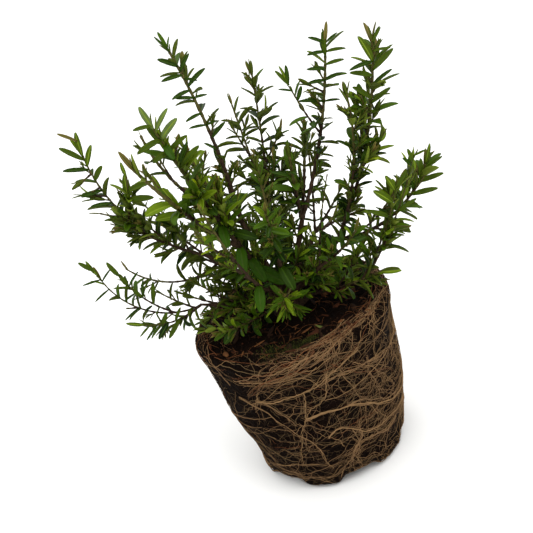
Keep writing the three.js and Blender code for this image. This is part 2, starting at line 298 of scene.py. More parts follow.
class Heap:
    # Parts gathered as arrays and put in the scene as one piece.
    def __init__(self):
        self.points, self.quads, self.triangles = [], [], []
        self.quadFinish, self.triangleFinish = [], []
        self.size = 0

    def add(self, points, quads, triangles, quadFinish, triangleFinish):
        self.points.append(points)
        self.quads.append(quads + self.size)
        self.triangles.append(triangles + self.size)
        self.quadFinish.append(np.broadcast_to(quadFinish, len(quads)))
        self.triangleFinish.append(np.broadcast_to(triangleFinish, len(triangles)))
        self.size += len(points)

    def addTubes(self, paths, radii, normals, sides, shade, flat=1.0):
        # Closed tubes, each in its own finish.
        count, rings = paths.shape[:2]
        quads, fans = tubeFaces(count, rings, sides)
        shade = np.broadcast_to(shade, count)
        self.add(tubePoints(paths, radii, normals, sides, flat), quads, fans,
                 np.repeat(shade, (rings - 1) * sides), np.repeat(shade, 2 * sides))

    def put(self, name, finishes, slot, *nodes):
        lists = (self.points, self.quads, self.triangles)
        points, quads, triangles = (np.concatenate(part) for part in lists)
        faceFinish = np.concatenate(self.quadFinish + self.triangleFinish)
        settle(putMesh(name, points, quads, triangles, finishes, faceFinish), slot, *nodes)


def tubeFaces(count, rings, sides):
    # Faces of many closed tubes: rings joined by quads, and a fan to one point at each end.
    ring = np.arange(rings - 1)[:, None] * sides
    side = np.arange(sides)[None, :]
    after = (side + 1) % sides
    above = ring + sides
    quads = np.stack([ring + side, ring + after, above + after, above + side], -1).reshape(-1, 4)
    footPoint, tipPoint = rings * sides, rings * sides + 1
    last = (rings - 1) * sides
    side, after = side.ravel(), after.ravel()
    fans = np.concatenate([
        np.stack([np.full(sides, footPoint), after, side], -1),
        np.stack([np.full(sides, tipPoint), last + side, last + after], -1),
    ])
    shift = (np.arange(count) * (rings * sides + 2))[:, None, None]
    return (quads + shift).reshape(-1, 4), (fans + shift).reshape(-1, 3)


def tubePoints(paths, radii, normals, sides, flat=1.0):
    # Circles carried along each path: centre + radius * (cos a * normal + sin a * side).
    along = unit(np.gradient(paths, axis=1))
    across = unit(np.cross(normals, along))
    over = np.cross(along, across)
    turn = (np.arange(sides) / sides * 2 * np.pi)[None, None, :, None]
    radii = radii[:, :, None, None]
    out = np.cos(turn) * across[:, :, None] + flat * np.sin(turn) * over[:, :, None]
    rings = paths[:, :, None] + radii * out
    foot = paths[:, :1] - along[:, :1] * radii[:, :1, 0] * 0.3
    tip = paths[:, -1:] + along[:, -1:] * radii[:, -1:, 0] * 0.6
    count = len(paths)
    return np.concatenate([rings.reshape(count, -1, 3), foot, tip], 1).reshape(-1, 3)


# ---- the plant's plan: the same limbs and leading shoots as the solids ----

soilHeight = 133
soilRadius = 80
trunkPlan = {
    "height": 23, "flareRadius": 14, "waistRadius": 9, "waistHeight": 9, "crownRadius": 9.5,
    "crownHeight": 16, "lean": 3, "ribs": 5, "ribDepth": 0.13,
}
boughPlan = {"footRadius": 2.4, "tipRadius": 1.75, "neckRadius": 1.45, "bow": 5, "neck": 6}

# Each limb's compass, lean and length, then its leading shoots as compass, lean, bow and length.
limbs = {
    "back_left_high": (128, 20, 50, [(112, 11, 2, 147), (157, 31, 8, 111), (98, 10, -4, 59)]),
    "back_high": (70, 26, 48, [(57, 20, 4, 116), (91, 39, 6, 106)]),
    "right_high": (12, 30, 46, [(20, 26, 8, 142), (-60, 11, -4, 62), (52, 34, 6, 78)]),
    "right": (-4, 56, 48, [(0, 24, 14, 157), (-17, 17, 2, 122), (10, 67, 8, 102), (-30, 51, 10, 81)]),
    "left_high": (168, 44, 54, [(163, 29, 16, 141), (-175, 44, 10, 88)]),
    "near_left": (-142, 24, 46, [(-125, 21, 6, 119), (-134, 34, 8, 124), (168, 10, -3, 94)]),
    "front_right": (-46, 54, 40, [(-43, 51, 12, 59), (-37, 22, 6, 85)]),
    "front_mid": (-84, 34, 42, [(-89, 43, 10, 90), (-48, 6, 4, 84)]),
    "front_left": (-112, 50, 44, [(-113, 27, 12, 100), (-171, 25, 8, 72)]),
    "left_low": (182, 72, 54, [(167, 54, 16, 98), (-153, 73, 10, 60)]),
    "back_left": (140, 62, 52, [(138, 43, 12, 107), (92, 41, 10, 105), (165, 76, 16, 92),
        (123, 76, 14, 93)]),
    "back_right": (42, 60, 46, [(65, 34, 10, 94), (26, 56, 8, 48), (33, 86, 14, 66)]),
    "back_low": (88, 60, 50, [(73, 53, 12, 84), (49, 76, 10, 83)]),
}
lowShoots = {"low_front": (-92, 58, 14, 70), "low_front_left": (-140, 76, 10, 74),
             "low_right": (-24, 78, 10, 84)}

# Leading shoots that swing out and back more than their solid does, by their index, in degrees of bow.
sways = {("right", 1): 16, ("right", 2): 34, ("right", 3): 20, ("left_high", 0): 22, ("back_left", 2): 30,
         ("left_low", 0): 36, ("left_low", 1): 20, ("back_left_high", 0): -24, ("back_left_high", 1): 22,
         ("right_high", 0): 4, ("front_right", 1): -12}

# Smaller shoots that leave a leading shoot (its index) or the limb (None) at a distance from its foot,
# each again as compass, lean, bow and length.
lesserShoots = {
    "low_right": [(0, 60, -2, 34, 10, 101), (0, 56, -8, 31, 12, 88), (0, 34, -6, 42, 8, 50)],
    "low_front": [(0, 46, -40, 40, 8, 16), (0, 34, -100, 96, -6, 20), (0, 22, -70, 100, -8, 24),
        (0, 30, -142, 72, 6, 20)],
    "low_front_left": [(0, 40, -175, 72, 8, 40)],
    "right": [(2, 30, -28, 98, 8, 26), (0, 20, -29, 74, 8, 22), (0, 62, -10, 50, 6, 31),
        (0, 84, 123, 14, 6, 31), (2, 40, -6, 43, 6, 55), (0, 98, -149, 18, 6, 25), (0, 112, -8, 44, 4, 20),
        (2, 62, -4, 48, 6, 35), (3, 40, -18, 42, 6, 39)],
    "right_high": [(0, 66, -168, 16, 6, 49), (0, 84, -128, 26, 6, 20), (0, 96, 180, 44, 6, 18)],
    "back_high": [(1, 52, 138, 16, 6, 34), (0, 40, 0, 40, 6, 37), (0, 20, 12, 56, 6, 36)],
    "left_high": [(1, 30, -162, 22, 8, 58), (1, 46, -174, 28, 8, 46), (0, 70, -160, 54, 8, 29),
        (0, 50, -147, 56, 8, 31), (0, 92, -166, 61, 6, 24), (0, 112, -160, 104, 6, 12),
        (0, 100, -135, 84, 6, 11), (1, 66, -40, 24, 8, 52)],
    "near_left": [(0, 104, -141, 14, 6, 27), (0, 22, -130, 30, 6, 40), (0, 34, -24, 17, 6, 34),
        (1, 20, -157, 42, 6, 30), (1, 70, 154, 24, 6, 34)],
    "left_low": [(0, 22, 180, 30, 22, 61), (0, 6, 163, 49, 8, 36), (None, 18, 161, 39, 8, 48),
        (None, 30, 173, 42, 8, 47), (None, 42, 167, 57, 8, 42), (1, 6, -162, 96, 8, 30),
        (0, 52, -171, 68, 8, 12), (0, 30, -138, 146, 6, 21)],
    "back_left": [(2, 14, -171, 98, 8, 25), (None, 34, 162, 31, 8, 38), (None, 24, 172, 92, 8, 28),
        (None, 14, 175, 72, 8, 47), (1, 60, 0, 31, 6, 43)],
    "back_left_high": [(1, 60, -139, 11, 6, 31)],
    "front_left": [(None, 24, -147, 23, 20, 38), (0, 40, -154, 33, 6, 42)],
    "front_right": [(1, 30, -18, 49, 8, 26)],
}
lesserSize, lesserStout = 0.85, 0.6

# Each mass's leaves: size, width for length, how much wider the old ones are, how fresh the green is, how
# bushy the side shoots are, the size of the oldest leaves beside the young ones, how stout the stem is, how
# far a grown leaf stands off its stem, and how far apart the oldest pairs are beside the young ones.
looks = {
    "back_left_high": (1.1, 0.37, 0.1, 0.35, 0.5, 0.7, 1.2, 74, 1.5),
    "back_high": (1.04, 0.36, 0.1, 0.3, 0.8, 0.8, 0.8, 80, 1.0),
    "right_high": (1.1, 0.36, 0.1, 0.42, 0.5, 0.5, 1.1, 82, 0.7),
    "right": (1.2, 0.36, 0.1, 0.54, 1.0, 0.75, 1.1, 68, 0.9),
    "left_high": (1.1, 0.36, 0.1, 0.4, 0.7, 0.75, 0.8, 62, 1.0),
    "near_left": (1.24, 0.36, 0.1, 0.58, 0.4, 0.5, 1.25, 58, 1.3),
    "front_right": (0.88, 0.3, 0.2, 0.4, 0.4, 0.85, 0.8, 70, 1.0),
    "front_mid": (0.84, 0.32, 0.2, 0.34, 0.6, 0.8, 0.9, 66, 1.3),
    "front_left": (0.64, 0.3, 0.1, 0.5, 0.4, 0.9, 0.8, 64, 1.2),
    "left_low": (0.94, 0.3, 0.1, 0.36, 0.8, 0.75, 0.6, 72, 1.0),
    "back_left": (0.95, 0.31, 0.1, 0.3, 0.9, 0.8, 0.75, 70, 1.0),
    "back_right": (1.0, 0.3, 0.1, 0.3, 0.5, 0.75, 0.8, 78, 1.0),
    "back_low": (0.86, 0.29, 0.1, 0.25, 0.9, 0.8, 0.75, 76, 1.0),
    "low_front": (1.15, 0.21, 0.1, 0.6, 0.2, 1.0, 0.6, 60, 0.8),
    "low_front_left": (0.86, 0.5, 0.0, 0.45, 0.2, 1.0, 0.6, 72, 1.0),
    "low_right": (1.25, 0.3, 0.0, 0.5, 0.5, 1.0, 0.7, 66, 1.0),
}
lookParts = ("size", "broad", "widens", "fresh", "bushy", "old", "stout", "open", "close")
# Leading shoots that are slighter than the rest of their mass, by their index.
slighter = {("front_right", 1): 0.62, ("right", 1): 0.8, ("right", 3): 0.55, ("near_left", 2): 0.75}
# How much fresher the lesser shoots of a mass are than the mass.
younger = {"front_left": 0.35, "near_left": 0.15, "low_right": 0.1, "low_front": -0.2, "left_high": 0.15}
# How far each pair of leaves is turned on from the pair above it besides the quarter turn, on a leading shoot
# that points at the viewer and would look combed.
twisted = {("front_mid", 0): 26, ("front_mid", 1): 12, ("front_left", 0): 12}
courseSteps = 48
stepShares = np.append((np.arange(courseSteps) + 0.5) / courseSteps, 1)  # mid-step, then the tip


def heading(compass, lean):
    # The direction that leans this far from upright towards a compass angle.
    compass, lean = np.radians(compass), np.radians(lean)
    level = np.sin(lean)
    return np.stack([level * np.cos(compass), level * np.sin(compass), np.cos(lean)], -1)


def course(foot, length, directions, across):
    # A centre line: its foot plus the running sum of its directions, each a step long.
    points = np.vstack([foot, foot + np.cumsum(directions[:-1], 0) * length / courseSteps])
    return {"points": points, "directions": directions, "across": across, "length": length}


def leaderCourse(foot, compass, lean, bow, length):
    # The lean runs evenly from lean + bow at the foot to lean - bow at the tip.
    directions = heading(compass + 0 * stepShares, lean + bow * (1 - 2 * stepShares))
    compass = math.radians(compass)
    return course(foot, length, directions, np.array([math.sin(compass), -math.cos(compass), 0]))


def placesOn(line, distances):
    # Points, directions and the two square axes at some distances from the foot.
    exact = np.clip(np.asarray(distances, float) / line["length"], 0, 1) * courseSteps
    index = np.minimum(exact.astype(int), courseSteps - 1)
    part = (exact - index)[..., None]
    point = blendTo(line["points"][index], line["points"][index + 1], part)
    direction = unit(blendTo(line["directions"][index], line["directions"][index + 1], part))
    across = np.broadcast_to(line["across"], direction.shape)
    return point, direction, across, np.cross(across, direction)


def footOnTrunk(compass, lean):
    # The more a stem leans, the lower it starts and the further from the trunk's middle.
    r = 3 + 5 * (lean / 90)
    compass = math.radians(compass)
    return np.array([r * math.cos(compass), r * math.sin(compass), soilHeight + 24 - 20 * (lean / 90)])


sidePlan = {
    "first": 16, "spacing": 40, "between": 5, "share": 0.5, "longest": 46, "spread": 48, "tipSpread": 20,
    "bareTip": 20, "shortTurn": 137.5, "shortShare": 0.4, "short": (9, 26), "kept": 0.95,
    "fromLimb": (12, 20, 28, 36, 44), "limbShort": (16, 38),
    "room": 6, "shortRoom": 3, "limbRoom": 2.8, "soilRoom": 4,
}


def sideCourse(parent, distance, turn, length):
    # A side shoot starts at the spread angle and swings back evenly to the tip's angle.
    point, direction, across, over = placesOn(parent, distance)
    out = across * math.cos(turn) + over * math.sin(turn)
    angle = np.radians(blendTo(sidePlan["spread"], sidePlan["tipSpread"], stepShares))[:, None]
    directions = direction * np.cos(angle) + out * np.sin(angle)
    return course(point, length, directions, np.cross(direction, out))


masses = []
for name, (compass, lean, length, leaders) in limbs.items():
    limb = leaderCourse(footOnTrunk(compass, lean), compass, lean, boughPlan["bow"], length)
    tip, direction, across, over = placesOn(limb, length)
    foot = tip + direction * boughPlan["neck"]
    shoots = [leaderCourse(foot, turned, lean, bow + sways.get((name, number), 0), reach)
              for number, (turned, lean, bow, reach) in enumerate(leaders)]
    masses.append({"name": name, "index": len(masses), "limb": limb, "leaders": shoots})
for name, (compass, lean, bow, length) in lowShoots.items():
    shoots = [leaderCourse(footOnTrunk(compass, lean), compass, lean, bow, length)]
    masses.append({"name": name, "index": len(masses), "limb": None, "leaders": shoots})
for mass in masses:
    mass.update(dict(zip(lookParts, looks[mass["name"]])), sides=[], tufts=[], lesser=[])
    for number, leader in enumerate(mass["leaders"]):
        place = (mass["name"], number)
        leader.update(slight=slighter.get(place, 1), twist=twisted.get(place, 0))
    for parent, distance, *turned in lesserShoots.get(mass["name"], []):
        stem = mass["limb"] if parent is None else mass["leaders"][parent]
        mass["lesser"].append(leaderCourse(placesOn(stem, distance)[0], *turned))

spines = {"owner": [], "isLimb": [], "start": [], "end": []}


def addSpine(owner, line, isLimb=False):
    # A stem as straight pieces, each eight steps long.
    starts = line["points"][:-1:8]
    spines["owner"] += [owner] * len(starts)
    spines["isLimb"] += [isLimb] * len(starts)
    spines["start"] += list(starts)
    spines["end"] += list(line["points"][8::8])


def distanceTo(points, chosen):
    # The least distance from each point to the chosen straight pieces of stem.
    start, end = np.array(spines["start"])[chosen], np.array(spines["end"])[chosen]
    along = end - start
    offset = points[:, None] - start[None]
    part = np.clip((offset * along).sum(-1) / (along * along).sum(-1), 0, 1)
    return np.linalg.norm(offset - part[..., None] * along, axis=-1).min(1)


def offSoil(points, clearance):
    # Above the soil, or out past the ball's rim.
    away = np.hypot(points[..., 0], points[..., 1]) > soilRadius + clearance
    return (points[..., 2] - soilHeight > clearance) | away


for mass in masses:
    if mass["limb"]:
        addSpine(mass["name"], mass["limb"], True)
    for leader in mass["leaders"] + mass["lesser"]:
        addSpine(mass["name"], leader)


# Large leaves that stand or hang where they are seen best, each from a leading or lesser shoot (its index,
# the lesser ones after the leading ones) or the limb (None): the distance from its foot, the way the leaf
# points as seen from the front, in degrees up from straight right, its length, its width for its length and
# the place of its green in the leaf tints.
# Green 5 is the pale tint that has a painted sheen in it.
largeLeaves = {
    "near_left": [(0, 30, -92, 20, 0.38, 6), (0, 2, -99, 23, 0.38, 6), (None, 40, -75, 23, 0.4, 6),
        (None, 29, -49, 26, 0.38, 6), (2, 14, -35, 21, 0.36, 1), (3, 17, 104, 17, 0.25, 5),
        (3, 2, 114, 19, 0.25, 7), (0, 119, 41, 17, 0.2, 5), (0, 112, 31, 18, 0.27, 5),
        (3, 8, -163, 19, 0.23, 7), (3, 19, 179, 13, 0.22, 7), (3, 3, -74, 13, 0.4, 6),
        (0, 102, -159, 14, 0.3, 7), (0, 102, 19, 17, 0.21, 7), (0, 89, 48, 18, 0.2, 1),
        (0, 87, 28, 21, 0.21, 7)],
    "left_high": [(9, 44, 91, 11, 0.27, 8), (9, 25, 78, 19, 0.25, 8), (9, 32, -1, 21, 0.22, 7),
        (9, 24, -15, 21, 0.24, 7), (0, 118, 57, 17, 0.25, 8), (0, 106, 42, 13, 0.34, 7),
        (0, 126, 86, 19, 0.22, 8), (0, 123, 137, 21, 0.2, 7), (0, 115, 167, 20, 0.18, 1),
        (0, 138, 143, 16, 0.16, 9), (0, 97, -178, 17, 0.22, 1), (0, 85, 173, 17, 0.18, 1)],
    "back_left_high": [(0, 126, 145, 16, 0.24, 1), (0, 119, -177, 17, 0.2, 1), (0, 107, -167, 16, 0.2, 1),
        (0, 101, 167, 14, 0.2, 1), (0, 89, -166, 14, 0.2, 1), (0, 80, 176, 14, 0.16, 1),
        (0, 122, 42, 15, 0.2, 1), (0, 110, 24, 19, 0.2, 1), (0, 116, -31, 11, 0.2, 1),
        (0, 101, -9, 11, 0.2, 1), (0, 80, -2, 10, 0.2, 1), (0, 141, 103, 14, 0.2, 2),
        (0, 141, 61, 9, 0.16, 2), (0, 138, 118, 16, 0.12, 1), (0, 70, 29, 16, 0.2, 1),
        (0, 61, 137, 11, 0.2, 1)],
    "right_high": [(0, 130, 147, 14, 0.2, 1), (0, 124, 176, 15, 0.2, 1), (0, 112, 167, 15, 0.2, 1),
        (0, 104, 176, 15, 0.2, 1), (0, 89, 165, 21, 0.14, 1), (0, 130, 19, 12, 0.15, 1),
        (0, 124, -14, 16, 0.17, 7), (0, 115, -7, 15, 0.19, 7), (0, 104, 2, 14, 0.2, 1),
        (0, 89, -16, 13, 0.16, 1), (0, 121, 80, 18, 0.2, 7), (0, 130, 68, 16, 0.18, 9),
        (0, 133, 88, 8, 0.2, 7), (3, 44, 118, 15, 0.2, 7), (3, 45, 80, 14, 0.22, 1),
        (3, 46, 101, 14, 0.16, 8), (3, 39, 158, 11, 0.16, 1), (3, 31, 56, 11, 0.3, 1)],
    "right": [(2, 94, 61, 16, 0.2, 8), (2, 89, 16, 18, 0.15, 7), (2, 79, -1, 21, 0.2, 7),
        (2, 83, 73, 15, 0.26, 7), (2, 72, 85, 8, 0.3, 1), (2, 68, -7, 22, 0.2, 7),
        (0, 134, 105, 21, 0.24, 8), (0, 128, 26, 21, 0.2, 7), (0, 134, -174, 20, 0.17, 1),
        (0, 124, 158, 18, 0.22, 7), (0, 108, 133, 17, 0.24, 7), (0, 105, 18, 18, 0.2, 7),
        (0, 118, 17, 18, 0.16, 1), (0, 141, -13, 13, 0.16, 7), (0, 147, 42, 12, 0.18, 7)],
    "low_right": [(2, 73, 107, 14, 0.3, 8), (2, 64, 132, 18, 0.3, 8), (2, 53, 147, 18, 0.22, 7),
        (2, 51, 114, 12, 0.3, 1), (1, 55, 16, 17, 0.2, 7), (2, 75, 41, 16, 0.22, 7),
        (1, 93, 95, 10, 0.3, 7), (1, 90, 124, 9, 0.3, 1), (1, 97, 6, 10, 0.18, 7)],
    "left_low": [(0, 96, 134, 15, 0.24, 7), (0, 92, 109, 15, 0.2, 8), (0, 88, -179, 15, 0.12, 1),
        (0, 78, -154, 15, 0.12, 1), (0, 51, -154, 15, 0.12, 1), (0, 86, 34, 14, 0.12, 1),
        (0, 63, 15, 13, 0.14, 1), (0, 45, 16, 7, 0.3, 0), (2, 53, 113, 15, 0.26, 7),
        (2, 43, 108, 12, 0.3, 7), (2, 42, 37, 15, 0.13, 1), (2, 41, 165, 13, 0.16, 7),
        (2, 29, 119, 10, 0.34, 7), (2, 28, 68, 15, 0.15, 1), (2, 18, 71, 19, 0.18, 7),
        (1, 50, 156, 14, 0.22, 8), (1, 45, -148, 12, 0.14, 7), (1, 39, -142, 15, 0.12, 1),
        (1, 30, -137, 15, 0.28, 0), (1, 20, -136, 18, 0.22, 7), (1, 35, 47, 11, 0.3, 7),
        (1, 24, 49, 12, 0.22, 7)],
    "front_mid": [(None, 37, -79, 22, 0.4, 1)],
    "front_left": [(0, 0, -103, 21, 0.38, 6)],
}


def largePlaces(mass):
    # Each leaf's foot on its stem and its own direction: cos a to the right plus sin a up the front sheet.
    for parent, distance, angle, *leaf in largeLeaves.get(mass["name"], []):
        stem = mass["limb"] if parent is None else (mass["leaders"] + mass["lesser"])[parent]
        angle = math.radians(angle)
        out = viewAxes[0] * math.cos(angle) + viewAxes[1] * math.sin(angle)
        yield placesOn(stem, distance)[0], out, *leaf


# Where the sky shows right through the crown from the front, area by area: millimetres across and up from the
# middle of the soil and the opening's radius, and for a long one the place of its far end.
gaps = {
    "high left": [
        (-114, 171, 4), (-110, 157, 4), (-125, 162, 4), (-105, 147, 4, -111, 137), (-104, 125, 4),
        (-117, 114, 4), (-116, 105, 4), (-108, 95, 4), (-66, 173, 4), (-66, 161, 5),
        (-68, 148, 3, -58, 151), (-82, 136, 5), (-66, 136, 4, -50, 135), (-60, 123, 5, -49, 125),
        (-46, 152, 3), (-36, 133, 3), (-85, 119, 3.5, -74, 117), (-77, 107, 3, -72, 110), (-89, 110, 2.5),
        (-86, 105, 2.5), (-64, 107, 4), (-55, 112, 3), (-47, 117, 3), (-81, 94, 2.5), (-77, 88, 2.5),
        (-103, 89, 3),
    ],
    "low left": [
        (-116, 69, 4), (-108, 65, 4), (-100, 58, 4), (-89, 62, 3.5), (-130, 67, 4), (-126, 58, 3.5),
        (-138, 53, 4), (-77, 52, 4), (-89, 47, 4, -76, 48), (-90, 37, 5), (-106, 39, 4.5), (-126, 43, 5),
        (-116, 38, 3.5), (-97, 34, 4), (-104, 23, 3.5), (-89, 20, 4), (-96, 26, 3.5), (-78, 24, 3.5),
        (-68, 24, 4), (-56, 22, 3.5), (-62, 33, 3), (-79, 32, 2.5),
    ],
    "middle": [
        (-26, 150, 5), (-19, 142, 4), (-22, 160, 4), (-20, 128, 4), (-31, 220, 3), (-26, 194, 4),
        (-17, 100, 3), (-15, 92, 3), (-21, 81, 3), (-49, 88, 3, -38, 86), (-69, 76, 3), (-66, 69, 2.5),
        (-54, 65, 4), (-38, 62, 3.5), (-47, 55, 2.5), (-45, 49, 3), (-43, 73, 2.5), (7, 163, 4),
        (26, 163, 3), (35, 156, 3), (43, 138, 3), (7, 122, 3), (6, 133, 2.5), (5, 141, 2.5), (31, 115, 3),
        (24, 129, 2.5), (30, 132, 2.5), (21, 137, 2.5), (48, 98, 5, 45, 86), (40, 76, 4), (35, 66, 4.5),
        (29, 57, 3), (23, 46, 3),
    ],
    "high right": [
        (56, 170, 4), (58, 154, 4), (54, 143, 5), (62, 139, 4), (74, 166, 5), (73, 175, 4), (96, 174, 4),
        (86, 147, 4), (79, 135, 5), (85, 127, 4), (74, 116, 4, 85, 114), (96, 135, 3),
        (121, 112, 5, 117, 101), (114, 96, 3.5), (96, 81, 3.5), (124, 152, 4, 131, 151), (111, 159, 3.5),
    ],
    "low right": [
        (62, 86, 4, 74, 85), (60, 72, 5), (53, 62, 5), (45, 64, 3), (49, 49, 4), (40, 53, 3.5),
        (82, 56, 4.5, 95, 53), (84, 62, 3), (112, 49, 3.5), (103, 38, 4), (124, 54, 3), (125, 43, 4),
        (134, 53, 3.5), (117, 35, 3), (81, 38, 3.5), (88, 38, 3), (75, 44, 3), (80, 9, 4, 88, 6),
        (81, 24, 3), (52, 28, 3), (71, -44, 4),
    ],
}


def seenFromFront(points):
    # Across and up on the sheet through the middle of the soil that faces the front, and the height off it.
    across, upward, nearer = np.moveaxis((points - cameraPlan["aim"]) @ viewAxes.T, -1, 0)
    scale = cameraPlan["distance"] / (cameraPlan["distance"] - nearer)
    return np.stack([across * scale, upward * scale, nearer], -1)


# Each gap is a row of round openings. The crown is also kept open in front of the large leaves, so each
# opening ends in the height off the sheet that it starts from.
farBack = -1000
openings = []
for across, upward, radius, *far in (row for rows in gaps.values() for row in rows):
    ends = np.array([(across, upward), far or (across, upward)], float)
    count = 1 + round(np.hypot(*(ends[1] - ends[0])) / radius)
    openings += [(*place, radius, farBack) for place in np.linspace(*ends, count)]
for mass in masses:
    for foot, out, length, *_ in largePlaces(mass):
        for share in (0.2, 0.5, 0.8):
            across, upward, nearer = seenFromFront(foot + out * length * share)
            openings.append((across, upward, 0.16 * length + 0.8, nearer + 0.22 * length))
openings = np.array(openings, float)


def inOpening(points):
    # Within an opening's radius on the sheet, and nearer than its start.
    seen = seenFromFront(points)[..., None]
    away = np.hypot(seen[..., 0, :] - openings[:, 0], seen[..., 1, :] - openings[:, 1])
    return ((away < openings[:, 2]) & (seen[..., 2, :] > openings[:, 3])).any(-1)


def keepSide(mass, line, room, shares=(0.3, 0.6, 1), main=False, fromLimb=False):
    # A side shoot is kept if it stays clear of the limbs, of the other masses' shoots, of the soil and of the
    # openings, and one from a limb of its own mass's shoots too.
    samples = placesOn(line, np.array(shares) * line["length"])[0]
    inWay = (np.array(spines["owner"]) != mass["name"]) | np.array(spines["isLimb"]) | fromLimb
    clear = np.all(distanceTo(samples, inWay) > room) and np.all(offSoil(samples, sidePlan["soilRoom"]))
    if clear and not inOpening(samples[:2]).any():
        mass["sides"].append({**line, "main": main})
        addSpine(mass["name"], line)


def growSides(mass, leader, leaderIndex, lesser=False):
    # Side shoots stand alternately round a leader, with shorter ones between the main ones.
    step, slight = sidePlan["spacing"] / sidePlan["between"], leader.get("slight", 1)
    stations = int((leader["length"] - sidePlan["first"] - sidePlan["bareTip"]) // step) + 1
    for station in range(max(stations, 0)):
        k, between = divmod(station, sidePlan["between"])
        distance = sidePlan["first"] + step * station
        beyond = leader["length"] - distance
        if between == 0 and not lesser:
            turn = 90 + 180 * k + 110 * (chance(mass["index"], leaderIndex, k) - 0.5)
            length = min(sidePlan["longest"], sidePlan["share"] * beyond)
            length *= (0.8 + 0.2 * chance(k, mass["index"])) * slight
            line = sideCourse(leader, distance, math.radians(turn), length)
            keepSide(mass, line, sidePlan["room"], main=True)
        elif chance(mass["index"], leaderIndex, station, 8) < sidePlan["kept"]:
            luck = chance(station, mass["index"], leaderIndex)
            turn = 90 + sidePlan["shortTurn"] * station + 60 * (luck - 0.5)
            length = blendTo(*sidePlan["short"], chance(station, leaderIndex, mass["index"]))
            length = min(length * (0.5 + 0.5 * mass["bushy"]) * slight, sidePlan["shortShare"] * beyond)
            keepSide(mass, sideCourse(leader, distance, math.radians(turn), length), sidePlan["shortRoom"])


def growFromLimb(mass):
    # Short leafy shoots along the bough itself, so it isn't bare below its leading shoots.
    for station, distance in enumerate(sidePlan["fromLimb"]):
        for face in range(2):
            turn = 90 * station + 180 * face + 100 * (chance(mass["index"], station, face, 5) - 0.5)
            length = blendTo(*sidePlan["limbShort"], chance(station, mass["index"], face))
            line = sideCourse(mass["limb"], distance, math.radians(turn), length)
            keepSide(mass, line, sidePlan["limbRoom"], (0.4, 0.7, 1), fromLimb=True)


for mass in masses:
    for leaderIndex, leader in enumerate(mass["leaders"]):
        growSides(mass, leader, leaderIndex)
    for leaderIndex, leader in enumerate(mass["lesser"]):
        growSides(mass, leader, leaderIndex + 10, lesser=True)
for mass in masses:
    if mass["limb"]:
        growFromLimb(mass)
print("shoots grown:", sum(len(mass[kind]) for mass in masses for kind in ("leaders", "lesser", "sides")))

# ---- leaves ----

leafPlan = {
    "length": 17, "spacing": 6.2, "sideSpacing": 5.4, "tuftSpacing": 2.6, "crowding": 2.0, "closeFrom": 40,
    "budLength": 9, "budSize": 0.62, "sizeOver": 6, "budSpread": 10, "spreadOver": 13,
    "curl": 18, "widest": 0.5, "pointed": 1.2, "budBroad": 0.6, "thickness": 0.75, "fold": 0.55,
    "kept": 0.94, "tuftShare": 0.42, "older": (45, 100),
    "looseTurn": (26, 50), "looseSpread": (30, 24), "looseRoll": (44, 40),
    "stemRoom": 2.2, "soilRoom": 2.5, "fewest": 0.4, "tipDepth": 8,
}
leafParts = ("point", "direction", "out", "spread", "curl", "length", "broad", "roll", "fresh", "depth",
             "shoot", "green")


def loosened(kind, age, luck):
    # To either side by half the plan's first angle, and by half its second angle more where the leaf is old.
    young, more = leafPlan[kind]
    return (young + more * age) * (luck - 0.5)


def leafRows(line, spacing, first, size, mass, key, kept=1.0, beyond=0.0, fresher=0.0):
    # Opposite pairs a quarter turn apart, every second one square to the front. The k-th pair is
    # spacing * k^2 / (k + crowding) below the bud, with the oldest ones drawn together or apart,
    # and size and spread grow with that distance as 1 - exp(-distance / reach).
    woodEnd = line["length"] - (0 if beyond else min(leafPlan["budLength"], 0.35 * line["length"]))
    k = np.arange(120)
    down = spacing * k * k / (k + leafPlan["crowding"])
    down = down + (mass["close"] - 1) * np.maximum(down - leafPlan["closeFrom"], 0)
    grids = np.meshgrid(k[down < woodEnd - first + 0.1], np.arange(2), indexing="ij")
    k, face = (grid.ravel() for grid in grids)
    fromTip = down[k]
    point, direction, across, over = placesOn(line, woodEnd - fromTip)
    fromTip = fromTip + beyond
    opened = 1 - np.exp(-fromTip / leafPlan["spreadOver"])
    age = smooth(fromTip, *leafPlan["older"])
    square = math.degrees(math.atan2(-across[0, 1], over[0, 1]))
    turn = square + (90 + line.get("twist", 0)) * k + 180 * face + 36 * (chance(key, 8) - 0.5)
    turn = np.radians(turn + loosened("looseTurn", age, chance(key, k, face + 1)))
    out = across * np.cos(turn)[:, None] + over * np.sin(turn)[:, None]
    spread = blendTo(leafPlan["budSpread"], mass["open"], opened)
    spread = spread + loosened("looseSpread", age, chance(key, k, face + 4))
    grown = blendTo(leafPlan["budSize"], 1, 1 - np.exp(-fromTip / leafPlan["sizeOver"]))
    grown = grown * blendTo(1, mass["old"], age)
    fresh = mass["fresh"] + fresher + 0.35 * np.exp(-fromTip / 25) - 0.05 - 0.4 * age
    rows = {
        "point": point, "direction": direction, "out": out, "spread": spread,
        "curl": leafPlan["curl"] * opened * (0.2 + 1.6 * chance(key, face, k + 9)),
        "length": leafPlan["length"] * size * grown * (0.82 + 0.34 * chance(k, key, face + 7)),
        "broad": mass["broad"] * (0.88 + 0.3 * chance(k, face, key)) * (1 + mass["widens"] * age)
        * blendTo(leafPlan["budBroad"], 1, opened),
        "roll": loosened("looseRoll", age, chance(face, key, k + 2)),
        "fresh": np.clip(fresh, 0, 1), "depth": fromTip,
        "shoot": np.full(len(point), key), "green": np.full(len(point), -1),
    }
    stays = chance(k, face, key + 31) < np.where(fromTip > 20, kept - 0.22 * age, 1)
    return {part: rows[part][stays] for part in leafParts}


